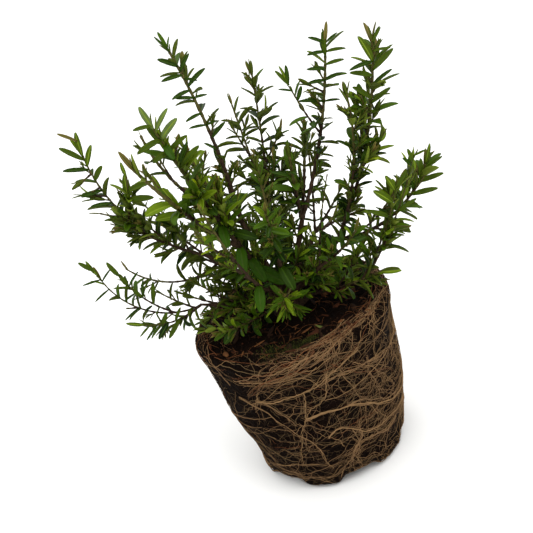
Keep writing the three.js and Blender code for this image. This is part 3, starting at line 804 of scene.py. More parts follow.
def largeRows(mass):
    # Each arches out to the front and then runs along its own heading.
    rows = []
    for number, (foot, out, length, broad, green) in enumerate(largePlaces(mass)):
        facing = unit(viewAxes[2] - (viewAxes[2] @ out) * out)
        roll = 16 * (chance(number, mass["index"]) - 0.5)
        rows.append((foot + facing, facing, out, 60, 56, length, broad, roll, 0, 60, -1, green))
    return {part: np.array([row[index] for row in rows], float) for index, part in enumerate(leafParts)}


def growTufts(mass, line, key):
    # Tiny side buds in the axils of the older leaves, each a short shoot with a few small leaves.
    step = leafPlan["spacing"]
    for k in range(int((line["length"] - 34) / step)):
        if chance(key, k, 77) < leafPlan["tuftShare"] * mass["bushy"]:
            distance = line["length"] - leafPlan["budLength"] - 14 - k * step
            turn = 45 + 90 * k + 180 * round(float(chance(k, key))) + 40 * (chance(k, key, 2) - 0.5)
            length = 4 + 6 * chance(key, k, 5) * mass["bushy"]
            mass["tufts"].append(sideCourse(line, distance, math.radians(turn), length))


def joined(tables):
    return {part: np.concatenate([table[part] for table in tables]) for part in leafParts}


# Every shoot has a key of its own, which its leaves' chances hang on.
for mass in masses:
    tables = []
    for number, leader in enumerate(mass["leaders"]):
        key, first = mass["index"] * 10 + number, 5 if mass["limb"] else 18
        size = mass["size"] * (0.94 + 0.12 * chance(key, 3)) * leader["slight"]
        tables.append(leafRows(leader, leafPlan["spacing"], first, size, mass, key, leafPlan["kept"]))
        growTufts(mass, leader, key)
    for number, shoot in enumerate(mass["lesser"]):
        key, spacing = 400 + mass["index"] * 10 + number, leafPlan["spacing"] * lesserSize
        tables.append(leafRows(shoot, spacing, 3, mass["size"] * lesserSize, mass, key,
                               fresher=younger.get(mass["name"], 0)))
        growTufts(mass, shoot, key)
    if mass["limb"]:
        key = 900 + mass["index"]
        tables.append(leafRows(mass["limb"], 7.5, 20, mass["size"], mass, key, 0.75, beyond=90))
    for number, line in enumerate(mass["sides"]):
        key = line["key"] = 500 + mass["index"] * 60 + number
        size = mass["size"] * (0.88 if line["main"] else 0.64 + 0.24 * chance(key, 6))
        spacing = leafPlan["sideSpacing"] * (1 if line["main"] else 0.8)
        tables.append(leafRows(line, spacing, 3, size, mass, key))
    for number, line in enumerate(mass["tufts"]):
        key = line["key"] = 3000 + mass["index"] * 90 + number
        size = 0.36 + 0.16 * chance(key, 2)
        tables.append(leafRows(line, leafPlan["tuftSpacing"], 0.5, size, mass, key))
    mass["leaves"] = joined(tables)


def leafTips(leaves):
    # The straight way from a leaf's foot to about its tip.
    angle = np.radians(leaves["spread"] + 0.4 * leaves["curl"])[:, None]
    return leaves["direction"] * np.cos(angle) + leaves["out"] * np.sin(angle)


def withRoom(mass):
    # A leaf that would touch a limb, another mass's stem or the soil, or cross an opening, is made shorter or
    # left out.
    leaves = mass["leaves"]
    inWay = (np.array(spines["owner"]) != mass["name"]) | np.array(spines["isLimb"])
    scale = np.zeros(len(leaves["length"]))
    for share in (0.55, 0.75, 1.0):
        reach = (leaves["length"] * share)[:, None] * leafTips(leaves)
        samples = leaves["point"][:, None] + reach[:, None] * np.array([0.35, 0.65, 1.0])[None, :, None]
        nearest = distanceTo(samples.reshape(-1, 3), inWay).reshape(samples.shape[:2]).min(1)
        clear = (nearest > leafPlan["stemRoom"]) & offSoil(samples, leafPlan["soilRoom"]).all(1)
        fits = clear & ~inOpening(samples).any(1)
        scale = np.where(fits, share, scale)
    # A side shoot that would be left with few leaves, or none at its tip, goes with them.
    for kind in ("sides", "tufts"):
        for line in mass[kind]:
            own = leaves["shoot"] == line["key"]
            atTip = own & (leaves["depth"] < leafPlan["tipDepth"])
            if (scale[own] > 0).sum() < leafPlan["fewest"] * own.sum() or not (scale[atTip] > 0).any():
                scale[own] = 0
        mass[kind] = [line for line in mass[kind] if (scale[leaves["shoot"] == line["key"]] > 0).any()]
    leaves["length"] = leaves["length"] * scale
    return {part: leaves[part][scale > 0] for part in leafParts}


for mass in masses:
    mass["leaves"] = withRoom(mass)
    if mass["name"] in largeLeaves:
        mass["leaves"] = joined([mass["leaves"], largeRows(mass)])
print("leaves grown:", sum(len(mass["leaves"]["length"]) for mass in masses))

# A leaf's section: each corner's place across (-1 to 1), its height off the blade's middle as a share of the
# thickness, and whether the strip to the next corner is blade 0, midrib 1 or underside 2.
leafSection = {
    "across": np.array([-1, -0.6, -0.13, 0.13, 0.6, 1, 0]),
    "lift": np.array([0, 0.42, 0.22, 0.22, 0.42, 0, -0.6]),
    "part": np.array([0, 0, 1, 0, 0, 2, 2]),
}
leafRings = {"fine": np.array([0.0, 0.12, 0.32, 0.56, 0.78, 0.93]), "plain": np.array([0.0, 0.3, 0.62, 0.9])}


def leafPoints(leaves, rings):
    # The midrib is the running sum of a direction that turns from the spread angle by the curl.
    # Half the width is (u/m)^a * ((1-u)/(1-m))^b, widest at m, and the edges fold up into a shallow V.
    u = np.append(rings, 1.0)
    middle = (u[1:] + u[:-1]) / 2
    angle = np.radians(leaves["spread"][:, None] + leaves["curl"][:, None] * (middle - 0.25))
    angle = angle[..., None]
    way = leaves["direction"][:, None] * np.cos(angle) + leaves["out"][:, None] * np.sin(angle)
    steps = np.diff(u)[None, :, None] * leaves["length"][:, None, None] * way
    spine = leaves["point"][:, None] + np.concatenate([np.zeros((len(steps), 1, 3)), np.cumsum(steps, 1)], 1)
    bend = np.radians(leaves["spread"][:, None] + leaves["curl"][:, None] * (rings - 0.25))[..., None]
    upper = leaves["direction"][:, None] * np.sin(bend) - leaves["out"][:, None] * np.cos(bend)
    width = np.cross(leaves["direction"], leaves["out"])[:, None] * np.ones_like(bend)
    roll = np.radians(leaves["roll"])[:, None, None] * rings[None, :, None] ** 0.5
    upper, width = upper * np.cos(roll) + width * np.sin(roll), width * np.cos(roll) - upper * np.sin(roll)
    m, k = leafPlan["widest"], leafPlan["pointed"]
    shape = (np.maximum(rings, 1e-4) / m) ** (m * k) * ((1 - rings) / (1 - m)) ** ((1 - m) * k)
    half = 0.5 * (leaves["length"] * leaves["broad"])[:, None] * shape
    half = np.maximum(half, 0.6 * smooth(rings, 0.6, 0))[..., None, None]
    x = leafSection["across"][None, None, :, None]
    thick = leafPlan["thickness"] * np.sqrt(np.clip(leaves["length"] / 16, 0.2, 1.2))[:, None, None, None]
    thick = thick * (0.4 + 0.6 * (1 - rings))[None, :, None, None]
    height = leafPlan["fold"] * np.abs(x) ** 1.3 * half + thick * leafSection["lift"][None, None, :, None]
    ringPoints = spine[:, :-1, None] + half * x * width[:, :, None] + height * upper[:, :, None]
    count = len(ringPoints)
    ends = np.stack([spine[:, 0], spine[:, -1]], 1)
    return np.concatenate([ringPoints.reshape(count, -1, 3), ends], 1).reshape(-1, 3)


# The pale tint is the large front leaves' green with a painted sheen of light mixed in, so it is greyer and
# paler than the leaf's own colour.
leafTints = {
    "leafDeep": (17, 35, 1), "leafDark": (34, 55, 2), "leafMid": (57, 82, 5), "leafFresh": (90, 112, 12),
    "leafLime": (128, 145, 17), "leafPaleSheen": (84, 101, 50), "leafOld": (42, 71, 3), "leafBroad": (58, 74, 4),
    "leafBright": (65, 83, 8), "leafBronze": (98, 86, 40),
}
underTints = {"underDark": (68, 80, 20), "underFresh": (100, 114, 36)}
ribTints = {"ribDark": (50, 74, 12), "ribFresh": (112, 132, 32)}
leafLook = {"drift": (120, 2), "fleck": (900, 2), "dark": 0.7, "light": 1.35, "relief": (0.0002, 0.25),
            "gloss": 0.08}


def leafFinishSet(tints, roughness):
    # Leaves are rougher where their green is lighter.
    for name, colour in tints.items():
        finish, drift, _ = flecked(name, colour, leafLook)
        yield finish.set(Roughness=roughness + 0.12 * drift)


leafFinishes = [
    *leafFinishSet(leafTints, 0.4), *leafFinishSet(underTints, 0.6), *leafFinishSet(ribTints, 0.45),
]


def leafKinds(leaves, key):
    # The blade's green goes from deep to lime with freshness, or is the leaf's own, and the smallest tip
    # leaves are bronze.
    luck = chance(np.arange(len(leaves["length"])), key)
    shade = np.clip(np.floor(leaves["fresh"] * 4.2 + 1.6 * (luck - 0.5)), 0, 4)
    bronze = (leaves["depth"] < 2.5) & (leaves["length"] > 4) & (luck > 0.35)
    blade = np.where(leaves["green"] < 0, np.where(bronze, 9, shade), leaves["green"])
    light = ((blade > 2.5) & (blade < 6)) | (blade == 8)
    return np.stack([blade, np.where(light, 13, 12), np.where(light, 11, 10)], 1).astype(int)


for mass in masses:
    heap = Heap()
    large = mass["leaves"]["length"] > 9
    for chosen, rings in ((large, leafRings["fine"]), (~large, leafRings["plain"])):
        leaves = {part: mass["leaves"][part][chosen] for part in leafParts}
        sides = len(leafSection["across"])
        quads, fans = tubeFaces(len(leaves["length"]), len(rings), sides)
        kinds = leafKinds(leaves, mass["index"])[:, leafSection["part"]]
        strips = np.repeat(kinds[:, None], len(rings) - 1, 1).ravel()
        ends = np.concatenate([kinds, kinds], 1).ravel()
        heap.add(leafPoints(leaves, rings), quads[:, ::-1], fans[:, ::-1], strips, ends)
    heap.put("leaves_" + mass["name"], leafFinishes, "foliage", "foliage_" + mass["name"])
print("leaves made")

# ---- twigs ----

twigPlan = {
    "leader": {"foot": 1.4, "tip": 0.75, "rings": 90, "sides": 8, "old": 0.55},
    "side": {"foot": 0.75, "tip": 0.45, "rings": 16, "sides": 6, "old": 0.2},
    "tuft": {"foot": 0.42, "tip": 0.32, "rings": 4, "sides": 4, "old": 0},
    "node": 0.3, "nodeLength": 1.1,
}


def twigFinish(name, dark, light, streak):
    # Thin bark: dark and light streaks drawn out along the height, and fine ridges in relief.
    finish = Finish(name)
    streaks = finish.grain(streak, 4, (1, 1, 0.25))
    spots = finish.grain(streak * 2.3, 2)
    base = finish.mixed((1.6 * streaks - 0.3).clamped(), tint(*dark), tint(*light))
    finish.relief(0.7 * streaks + 0.3 * spots, 0.0004, 0.6)
    return finish.set(Base_Color=base, Roughness=0.62 + 0.2 * spots, Specular_IOR_Level=0.12)


twigFinishes = [twigFinish("twigOld", (24, 17, 11), (68, 50, 34), 900),
                twigFinish("twigYoung", (48, 46, 18), (92, 86, 42), 1100)]


def addTwigs(heap, lines, plan, spacing, stout):
    # Tubes that taper from foot to tip and swell a little at every pair of leaves, old bark below young.
    paths, radii, normals = [], [], []
    for line in lines:
        woodEnd = line["length"] - min(leafPlan["budLength"], 0.35 * line["length"])
        distance = np.linspace(0, woodEnd + 1.2, plan["rings"])
        point, direction, across, over = placesOn(line, distance)
        fromTip = (woodEnd - distance) / spacing
        beat = np.abs(fromTip - np.round(fromTip)) * spacing
        swell = 1 + twigPlan["node"] * np.exp(-((beat / twigPlan["nodeLength"]) ** 2))
        taper = blendTo(plan["foot"], plan["tip"], (distance / line["length"]) ** 0.8)
        paths.append(point)
        radii.append(stout * line.get("slight", 1) * taper * swell)
        normals.append(over)
    sides, rings = plan["sides"], plan["rings"]
    quads, fans = tubeFaces(len(lines), rings, sides)
    young = np.tile(np.repeat(np.linspace(0, 1, rings - 1) > plan["old"], sides), len(lines))
    ends = np.tile(np.repeat([plan["old"] == 0, 1], sides), len(lines))
    heap.add(tubePoints(np.array(paths), np.array(radii), np.array(normals), sides), quads, fans, young, ends)


for mass in masses:
    heap = Heap()
    for kind, plan, spacing, stout in (
        ("leaders", "leader", leafPlan["spacing"], mass["stout"]),
        ("lesser", "leader", leafPlan["spacing"] * lesserSize, lesserStout),
        ("sides", "side", leafPlan["sideSpacing"], mass["stout"] ** 0.5),
        ("tufts", "tuft", leafPlan["tuftSpacing"], 1),
    ):
        if mass[kind]:
            addTwigs(heap, mass[kind], twigPlan[plan], spacing, stout)
    heap.put("twigs_" + mass["name"], twigFinishes, "bark", "foliage_" + mass["name"])
print("twigs made")

# ---- trunk and boughs ----

barkPlan = {"ridge": 0.35, "ridgeSize": 2.2, "fleck": 0.15, "trunkRings": 60, "trunkSides": 96,
            "boughRings": 120, "boughSides": 18}

barkFinish = Finish("bark")
barkStreaks = barkFinish.grain(520, 5, (1, 1, 0.3))
barkFlecks = barkFinish.grain(1500, 3)
barkMoss = (3.2 * barkFinish.grain(90, 3) - 1.75).clamped()
barkBase = barkFinish.mixed((1.7 * barkStreaks - 0.35).clamped(), tint(22, 15, 11), tint(70, 52, 36))
barkBase = barkFinish.mixed(0.5 * barkMoss, barkBase, tint(44, 50, 18))
barkFinish.relief(0.6 * barkStreaks + 0.4 * barkFlecks, 0.0006, 0.8)
barkFinish.set(Base_Color=barkBase, Roughness=0.72 + 0.2 * barkFlecks, Specular_IOR_Level=0.1)


def trunkMesh():
    # The knuckle's profile turned round its axis, flared into ribs at the soil, with bark ridges added.
    plan = trunkPlan
    flare, waist, crown = plan["flareRadius"], plan["waistRadius"], plan["crownRadius"]
    z = np.array([0, 0, 0.3 * plan["waistHeight"], plan["waistHeight"], plan["crownHeight"],
                  plan["height"] - 3, plan["height"] - 0.6, plan["height"]])
    r = np.array([0.5 * flare, flare, 0.82 * flare, waist, crown, 0.86 * crown, 0.5 * crown, 0.4])
    run = np.append(0, np.cumsum(np.hypot(np.diff(r), np.diff(z))))
    at = np.linspace(0, run[-1], barkPlan["trunkRings"])[:, None]
    turn = np.linspace(0, 2 * np.pi, barkPlan["trunkSides"], endpoint=False)[None, :]
    radius, height = np.interp(at, run, r) + 0 * turn, np.interp(at, run, z) + 0 * turn
    atFoot = 1 - smooth(height, 0, plan["waistHeight"])
    radius = radius * (1 + plan["ribDepth"] * np.cos(plan["ribs"] * turn) * atFoot)
    wrapped = np.stack([np.cos(turn) * 9 + 0 * at, np.sin(turn) * 9 + 0 * at, height / 3], -1)
    ridges = 1 - 2 * np.abs(cloud(wrapped, barkPlan["ridgeSize"], 3))
    radius = radius + (barkPlan["ridge"] * ridges + 0.5 * cloud(wrapped, 5, 8)) * smooth(radius, 0.5, 3)
    x = radius * np.cos(turn) + height * math.tan(math.radians(plan["lean"]))
    points = np.stack([x, radius * np.sin(turn), height + soilHeight + 0.3], -1)
    quads, fans = tubeFaces(1, *points.shape[:2])
    ends = np.array([[0, 0, soilHeight + 0.3], [1.2, 0, soilHeight + plan["height"] + 0.4]])
    piece = putMesh("trunkBark", np.vstack([points.reshape(-1, 3), ends]), quads, fans, (barkFinish,))
    settle(piece, "bark", "trunk")


def boughMesh():
    # Each bough is a tapering tube from inside the trunk through its neck, its bark ridged lengthwise.
    rings, sides = barkPlan["boughRings"], barkPlan["boughSides"]
    carriers = [mass for mass in masses if mass["limb"]]
    paths, normals, radii = [], [], []
    for mass in carriers:
        length = mass["limb"]["length"]
        distance = np.linspace(0, length + boughPlan["neck"] + 1, rings)
        point, direction, across, over = placesOn(mass["limb"], distance)
        paths.append(point + direction * np.maximum(distance - length, 0)[:, None])
        normals.append(over)
        stops = ([0, length, length + boughPlan["neck"] + 1],
                 [boughPlan["footRadius"], boughPlan["tipRadius"], boughPlan["neckRadius"]])
        stout = blendTo(1, mass["stout"], smooth(distance, 0, length))
        radii.append(np.interp(distance, *stops) * stout + 0.8 * np.exp(-distance / 4))
    paths, normals, radii = np.array(paths), np.array(normals), np.array(radii)
    points = tubePoints(paths, radii, normals, sides).reshape(len(paths), -1, 3)
    skin = points[:, :-2].reshape(len(paths), rings, sides, 3)
    out = unit(skin - paths[:, :, None])
    along = np.linspace(0, 50, rings)[None, :, None] + np.arange(len(paths))[:, None, None] * 90
    turn = (np.arange(sides) / sides * 2 * np.pi)[None, None]
    wrapped = np.stack(np.broadcast_arrays(np.cos(turn) * 2.4, np.sin(turn) * 2.4, along / 4), -1)
    ridges = 1 - 2 * np.abs(cloud(wrapped, 1.1, 5))
    rough = barkPlan["ridge"] * 0.6 * ridges + barkPlan["fleck"] * cloud(skin, 1.6, 9)
    points[:, :-2] = (skin + out * rough[..., None]).reshape(len(paths), -1, 3)
    quads, fans = tubeFaces(len(paths), rings, sides)
    piece = putMesh("boughBark", points.reshape(-1, 3), quads, fans, (barkFinish,))
    settle(piece, "bark", *["bough_" + mass["name"] for mass in carriers])


trunkMesh()
boughMesh()
print("trunk and boughs made")

# ---- root ball ----

ballPlan = {
    "height": 133, "topRadius": 80, "footRadius": 61, "shoulder": 9, "heel": 4, "flatTop": 17,
    "sideSwell": 1.3, "soilHeave": 2.2, "wornEdge": 1.2,
    "turns": 250, "rows": 160, "sunk": 0.5, "crumb": 0.7,
}
recessPlan = {"count": 6, "first": -80, "halfWidth": 15, "softness": 4, "depth": 6, "from": 48, "top": 30}


def ballProfile():
    # Half the ball's section, from the middle of the underside to the middle of the soil: radius and height.
    plan = ballPlan
    side = np.linspace(plan["heel"], plan["height"] - plan["shoulder"], 7)
    turn = np.radians([20, 40, 60, 75, 90])
    r = np.concatenate([
        [0, 24, 46, 52, plan["footRadius"] - plan["heel"]],
        blendTo(plan["footRadius"], plan["topRadius"], side / plan["height"]),
        plan["topRadius"] - plan["shoulder"] * (1 - np.cos(turn)) - plan["wornEdge"] * np.minimum(1, turn),
        [56, 38, plan["flatTop"], 0],
    ])
    z = np.concatenate([
        np.zeros(5), side, plan["height"] - plan["shoulder"] * (1 - np.sin(turn)), np.full(4, plan["height"]),
    ])
    return np.append(0, np.cumsum(np.hypot(np.diff(r), np.diff(z)))), r, z


ballRun, ballRadius, ballHeight = ballProfile()


def ballSurface(turn, run):
    # The section turned round, with the same slow swells, soil heave and drain recesses as the solid.
    r, z = np.interp(run, ballRun, ballRadius), np.interp(run, ballRun, ballHeight)
    x, y = r * np.cos(turn), r * np.sin(turn)
    onSide = smooth(z, 2, 20) * smooth(r, 40, 60)
    swell = np.sin(3 * turn + z / 21) + 0.7 * np.sin(5 * turn - z / 13 + 2)
    grown = 1 + ballPlan["sideSwell"] * swell * onSide / np.maximum(r, 1)
    onSoil = smooth(r, ballPlan["flatTop"], 40) * smooth(z, ballPlan["height"] - 2, ballPlan["height"])
    heave = np.sin(x / 11 + 1) * np.cos(y / 14) + 0.5 * np.sin(4 * turn + r / 9)
    period = 360 / recessPlan["count"]
    offset = np.abs((np.degrees(turn) - recessPlan["first"] + period / 2) % period - period / 2)
    half, soft = recessPlan["halfWidth"], recessPlan["softness"]
    bite = 1 - smooth(offset, half - soft, half + soft)
    atHeel = smooth(r, recessPlan["from"], recessPlan["from"] + 3)
    atHeel = atHeel * (1 - smooth(z, ballPlan["heel"], recessPlan["top"]))
    lift = recessPlan["depth"] * bite * atHeel
    return np.stack([x * grown, y * grown, z + lift + ballPlan["soilHeave"] * heave * onSoil], -1)


def ballNormal(turn, run):
    # Square to the two small steps round and along the skin.
    around = ballSurface(turn + 0.01, run) - ballSurface(turn - 0.01, run)
    along = ballSurface(turn, run + 1.0) - ballSurface(turn, run - 1.0)
    return unit(np.cross(around, along))


soilFinish = Finish("soil")
soilCrumb = soilFinish.cells(420)
soilDrift = soilFinish.grain(70, 4)
soilFleck = soilFinish.grain(1600, 3)
soilBase = soilFinish.mixed((1.5 * soilCrumb).clamped(), tint(3, 1, 1), tint(13, 7, 4))
soilBase = soilFinish.mixed((2.6 * soilDrift - 1.1).clamped(), soilBase, tint(18, 9, 5))
soilBase = soilFinish.mixed((6 * soilFleck - 3.9).clamped(), soilBase, tint(44, 28, 18))
soilFinish.relief(0.7 * soilCrumb + 0.3 * soilFleck, 0.0012, 0.9)
soilFinish.set(Base_Color=soilBase, Roughness=0.85 + 0.1 * soilFleck, Specular_IOR_Level=0.03)


def soilMesh():
    # The core lies just inside the skin of roots, broken by crumbs that push it in and out.
    run = np.linspace(0.6, ballRun[-1] - 0.6, ballPlan["rows"])[:, None]
    turn = np.linspace(0, 2 * np.pi, ballPlan["turns"], endpoint=False)[None, :]
    turn, run = np.broadcast_arrays(turn, run)
    skin, normal = ballSurface(turn, run), ballNormal(turn, run)
    onTop = smooth(skin[..., 2], 118, 131)
    crumbs = 0.7 * cloud(skin, 5, 1) + 0.5 * cloud(skin, 2.3, 2)
    depth = -ballPlan["sunk"] * (1 - 0.6 * onTop) + ballPlan["crumb"] * crumbs * (1 + 0.9 * onTop)
    onFoot = smooth(run, 60, 40)
    nearTrunk = smooth(np.hypot(skin[..., 0], skin[..., 1]), 15, 20)
    nearTrunk = np.where(skin[..., 2] > 100, nearTrunk, 1)
    depth = depth * (1 - onFoot * 0.75) * nearTrunk - 0.05 * (1 - nearTrunk)
    points = (skin + normal * depth[..., None]).reshape(-1, 3)
    quads, fans = tubeFaces(1, ballPlan["rows"], ballPlan["turns"])
    ends = np.array([[0, 0, 0.3], [0, 0, ballPlan["height"] - 0.05]])
    piece = putMesh("soilCore", np.vstack([points, ends]), quads, fans, (soilFinish,))
    settle(piece, "root_ball", "root_ball")


soilMesh()
print("soil core made")

rootTints = {
    "rootLight": (132, 103, 70), "rootTan": (118, 91, 63), "rootKhaki": (98, 79, 54),
    "rootBrown": (64, 48, 34), "rootRust": (106, 66, 41), "rootDark": (25, 15, 9),
}
rootLook = {"drift": (160, 3), "fleck": (1400, 3), "dark": 0.6, "light": 1.35, "relief": (0.0003, 0.5),
            "gloss": 0.06, "rough": 0.7}
rootFinishes = [flakyFinish(name, colour, rootLook) for name, colour in rootTints.items()]
sideRun = (62.0, ballRun[-1] - 74.0)  # from the heel to the rim, along the section

# The leading roots of the near side: radius, then points as degrees round and millimetres up the section.
leadRoots = {
    "acrossLeft": (0.62, [(-128, 158), (-118, 156), (-108, 160), (-99, 162), (-92, 164), (-86, 168),
        (-79, 174), (-69, 179), (-64, 180)]),
    "upRight": (0.45, [(-89, 164), (-82, 168), (-72, 168), (-62, 166), (-50, 162), (-41, 157), (-28, 158),
        (-10, 150)]),
    "upperArc": (0.45, [(-134, 176), (-128, 178), (-116, 179), (-106, 178), (-98, 180), (-94, 175),
        (-89, 164)]),
    "pale": (0.38, [(-90, 193), (-98, 190), (-106, 189), (-112, 185), (-117, 179), (-122, 172), (-126, 164),
        (-132, 149)]),
    "leftDown": (0.5, [(-126, 163), (-126, 158), (-122, 154), (-118, 148), (-115, 141), (-110, 131)]),
    "drop": (0.42, [(-98, 162), (-100, 154), (-101, 144), (-103, 137), (-106, 130), (-110, 120),
        (-111, 112), (-115, 100), (-116, 90)]),
    "leftToNode": (0.42, [(-140, 160), (-127, 151), (-120, 134), (-110, 120), (-106, 114), (-102, 110),
        (-101, 102), (-101, 90), (-98, 80)]),
    "fork": (0.4, [(-84, 174), (-86, 159), (-88, 153), (-92, 148), (-99, 144), (-103, 137)]),
    "rightBand": (0.7, [(-103, 136), (-98, 138), (-92, 140), (-84, 138), (-72, 136), (-64, 128), (-51, 116),
        (-42, 112), (-25, 110), (-5, 118)]),
    "rightBandUpper": (0.5, [(-77, 138), (-70, 138), (-60, 128), (-48, 118), (-39, 114), (-15, 122)]),
    "lowerBand": (0.6, [(-94, 113), (-90, 118), (-83, 119), (-78, 112), (-72, 104), (-62, 98), (-48, 100),
        (-33, 98), (-12, 92)]),
    "lowerDrop": (0.6, [(-72, 108), (-72, 100), (-76, 96), (-80, 90), (-84, 84), (-90, 74), (-95, 66)]),
    "lowerDropRight": (0.5, [(-40, 92), (-54, 89), (-63, 94), (-74, 94), (-79, 89), (-85, 79), (-88, 70)]),
    "footArc": (0.4, [(-140, 84), (-128, 88), (-122, 92), (-110, 90), (-101, 86)]),
    "footArcLow": (0.42, [(-140, 70), (-130, 68), (-121, 72), (-115, 74), (-106, 71), (-98, 72),
        (-90, 74)]),
    "rimLong": (0.4, [(-14, 194), (-28, 197), (-36, 198), (-46, 197), (-61, 196), (-72, 194), (-82, 190),
        (-88, 189)]),
    "rimHook": (0.4, [(-56, 208), (-66, 204), (-73, 201), (-77, 198), (-80, 195)]),
    "rimEdge": (0.38, [(-30, 198), (-43, 199), (-54, 200), (-63, 198), (-76, 198), (-87, 198), (-94, 196)]),
    "rimLow": (0.42, [(-83, 193), (-89, 192), (-98, 193), (-106, 195), (-111, 190)]),
    "sideNet": (0.32, [(-60, 170), (-60, 164), (-60, 158), (-58, 148), (-54, 136), (-50, 124)]),
    "sideNetRight": (0.32, [(-68, 172), (-62, 166), (-56, 156), (-49, 144), (-42, 132), (-38, 122)]),
    "sideNetMid": (0.3, [(-76, 172), (-74, 160), (-70, 145), (-69, 136)]),
}

# Kinds of wandering root: count, rings, sides, length, radius, share that runs level, how far from level,
# how much they wave, how high they lie off the skin, where they start up the side, and how their colours are
# dealt.
rootKinds = {
    "main": {"count": 56, "rings": 60, "sides": 6, "length": (60, 150), "radius": (0.28, 0.5), "level": 0.6,
        "scatter": 24, "wander": 24, "lift": (0, 0.5), "band": (0.02, 0.95),
        "shades": (0.3, 0.9, 1, 1, 1, 1)},
    "branch": {"count": 720, "rings": 22, "sides": 4, "length": (16, 60), "radius": (0.17, 0.29),
        "level": 0.35, "scatter": 34, "wander": 36, "lift": (0, 0.4), "band": (0, 1),
        "shades": (0.22, 0.58, 0.8, 0.93, 0.95, 1)},
    "fine": {"count": 2500, "rings": 10, "sides": 3, "length": (7, 26), "radius": (0.12, 0.2),
        "level": 0.15, "scatter": 45, "wander": 52, "lift": (-0.4, 0.2), "band": (-0.2, 1.05),
        "shades": (0.05, 0.2, 0.42, 0.68, 0.71, 1)},
    "hair": {"count": 1900, "rings": 8, "sides": 3, "length": (5, 16), "radius": (0.1, 0.15), "level": 0,
        "scatter": 90, "wander": 90, "lift": (-0.6, 0.1), "band": (-0.1, 1.04),
        "shades": (0.02, 0.08, 0.3, 0.62, 0.64, 1)},
    "rim": {"count": 84, "rings": 26, "sides": 4, "length": (24, 90), "radius": (0.2, 0.34), "level": 0.9,
        "scatter": 14, "wander": 16, "lift": (0, 0.6), "band": (0.86, 1.03),
        "shades": (0.15, 0.4, 0.5, 0.6, 0.96, 1)},
}
# Strands that sweep together along the rim and down the left of the near side.
rimSweep = {
    "strands": 26, "rings": 60, "sides": 5, "radius": (0.15, 0.3), "apart": (4, 10), "weave": 2.2,
    "shades": (0.12, 0.34, 0.46, 0.68, 0.96, 1),
    "stops": [(12, 193), (-8, 196), (-28, 199), (-46, 199), (-62, 198), (-76, 196), (-90, 191), (-104, 185),
        (-118, 176), (-132, 164)],
}


def drawn(count, low=0, high=1):
    # One draw for each root, as a column.
    return rng.uniform(low, high, (count, 1))


def wander(plan, turn, run, angle):
    # Each root's heading is its first angle plus three waves along it, and its place is the running sum
    # of the cosine of that round the ball and of the sine up the section.
    count, rings = len(turn), plan["rings"]
    length = drawn(count) ** 1.6 * (plan["length"][1] - plan["length"][0]) + plan["length"][0]
    t = np.linspace(0, 1, rings)[None, :]
    waves = 0.6 * np.sin(2 * np.pi * (t * length / drawn(count, 30, 70) + drawn(count)))
    for share, period in ((0.5, (9, 18)), (0.45, (3, 7))):
        waves = waves + share * np.sin(2 * np.pi * (t * length / drawn(count, *period) + drawn(count)))
    angle = angle[:, None] + np.radians(plan["wander"] * drawn(count, 0.4, 1.2)) * (waves - waves[:, :1])
    step = length / (rings - 1)
    run = run[:, None] + np.cumsum(np.sin(angle), 1) * step
    run = np.clip(run, 6, sideRun[1] + 10)
    radiusAt = np.maximum(np.interp(run, ballRun, ballRadius), 4)
    turn = turn[:, None] + np.cumsum(np.cos(angle) / radiusAt, 1) * step
    rise = np.sin(2 * np.pi * (t * length / drawn(count, 18, 45) + drawn(count)))
    lift = blendTo(*plan["lift"], 0.5 + 0.5 * rise)
    radius = drawn(count) ** 1.5 * (plan["radius"][1] - plan["radius"][0]) + plan["radius"][0]
    radii = radius * blendTo(1.0, 0.5, t) * (1 + 0.12 * np.sin(t * length * 0.9 + drawn(count, 0, 6)))
    return turn, run, lift, radii


def freeStarts(kind, taken=0, around=(0, 360)):
    # Places spread evenly over the band, heading level or any way, for the roots that no other root bears.
    plan = rootKinds[kind]
    count, (low, high) = plan["count"] - taken, sideRun
    run = low + (high - low) * rng.uniform(*plan["band"], count)
    turn = np.radians(rng.uniform(*around, count))
    level = rng.uniform(0, 1, count) < plan["level"]
    angle = np.where(level, rng.normal(0, plan["scatter"], count), rng.uniform(-180, 180, count))
    return turn, run, np.radians(angle + 180 * rng.integers(0, 2, count))


def branchStarts(parents, count):
    # Places on earlier roots, each leaving its parent's own heading by 20 to 65 degrees to one side.
    turn, run = parents[0], parents[1]
    row, column = rng.integers(0, len(turn), count), rng.integers(2, turn.shape[1] - 2, count)
    radius = np.interp(run[row, column], ballRun, ballRadius)
    around = radius * (turn[row, column + 1] - turn[row, column - 1])
    upward = run[row, column + 1] - run[row, column - 1]
    aside = np.radians(rng.uniform(20, 65, count)) * rng.choice([-1, 1], count)
    return turn[row, column], run[row, column], np.arctan2(upward, around) + aside


def layRoots(heap, paths, sides, shade):
    # Puts the walks on the skin, raised by their lift, and never below the floor.
    turn, run, lift, radii = paths
    onFoot = smooth(np.interp(run, ballRun, ballHeight), 6, 1)
    lift = lift * (1 - onFoot) + onFoot * np.minimum(lift, -0.1)
    normal = ballNormal(turn, run)
    points = ballSurface(turn, run) + normal * (lift + 0.35 * radii)[..., None]
    points[..., 2] = np.maximum(points[..., 2], radii + 0.05)
    heap.addTubes(points, radii, normal, sides, shade)


# Each leading root is slighter than its plan and has thinner ones beside it that weave across it.
bundle = {"beside": 2, "apart": 1.5, "weave": 0.9, "thinner": 0.6, "lead": 0.8}


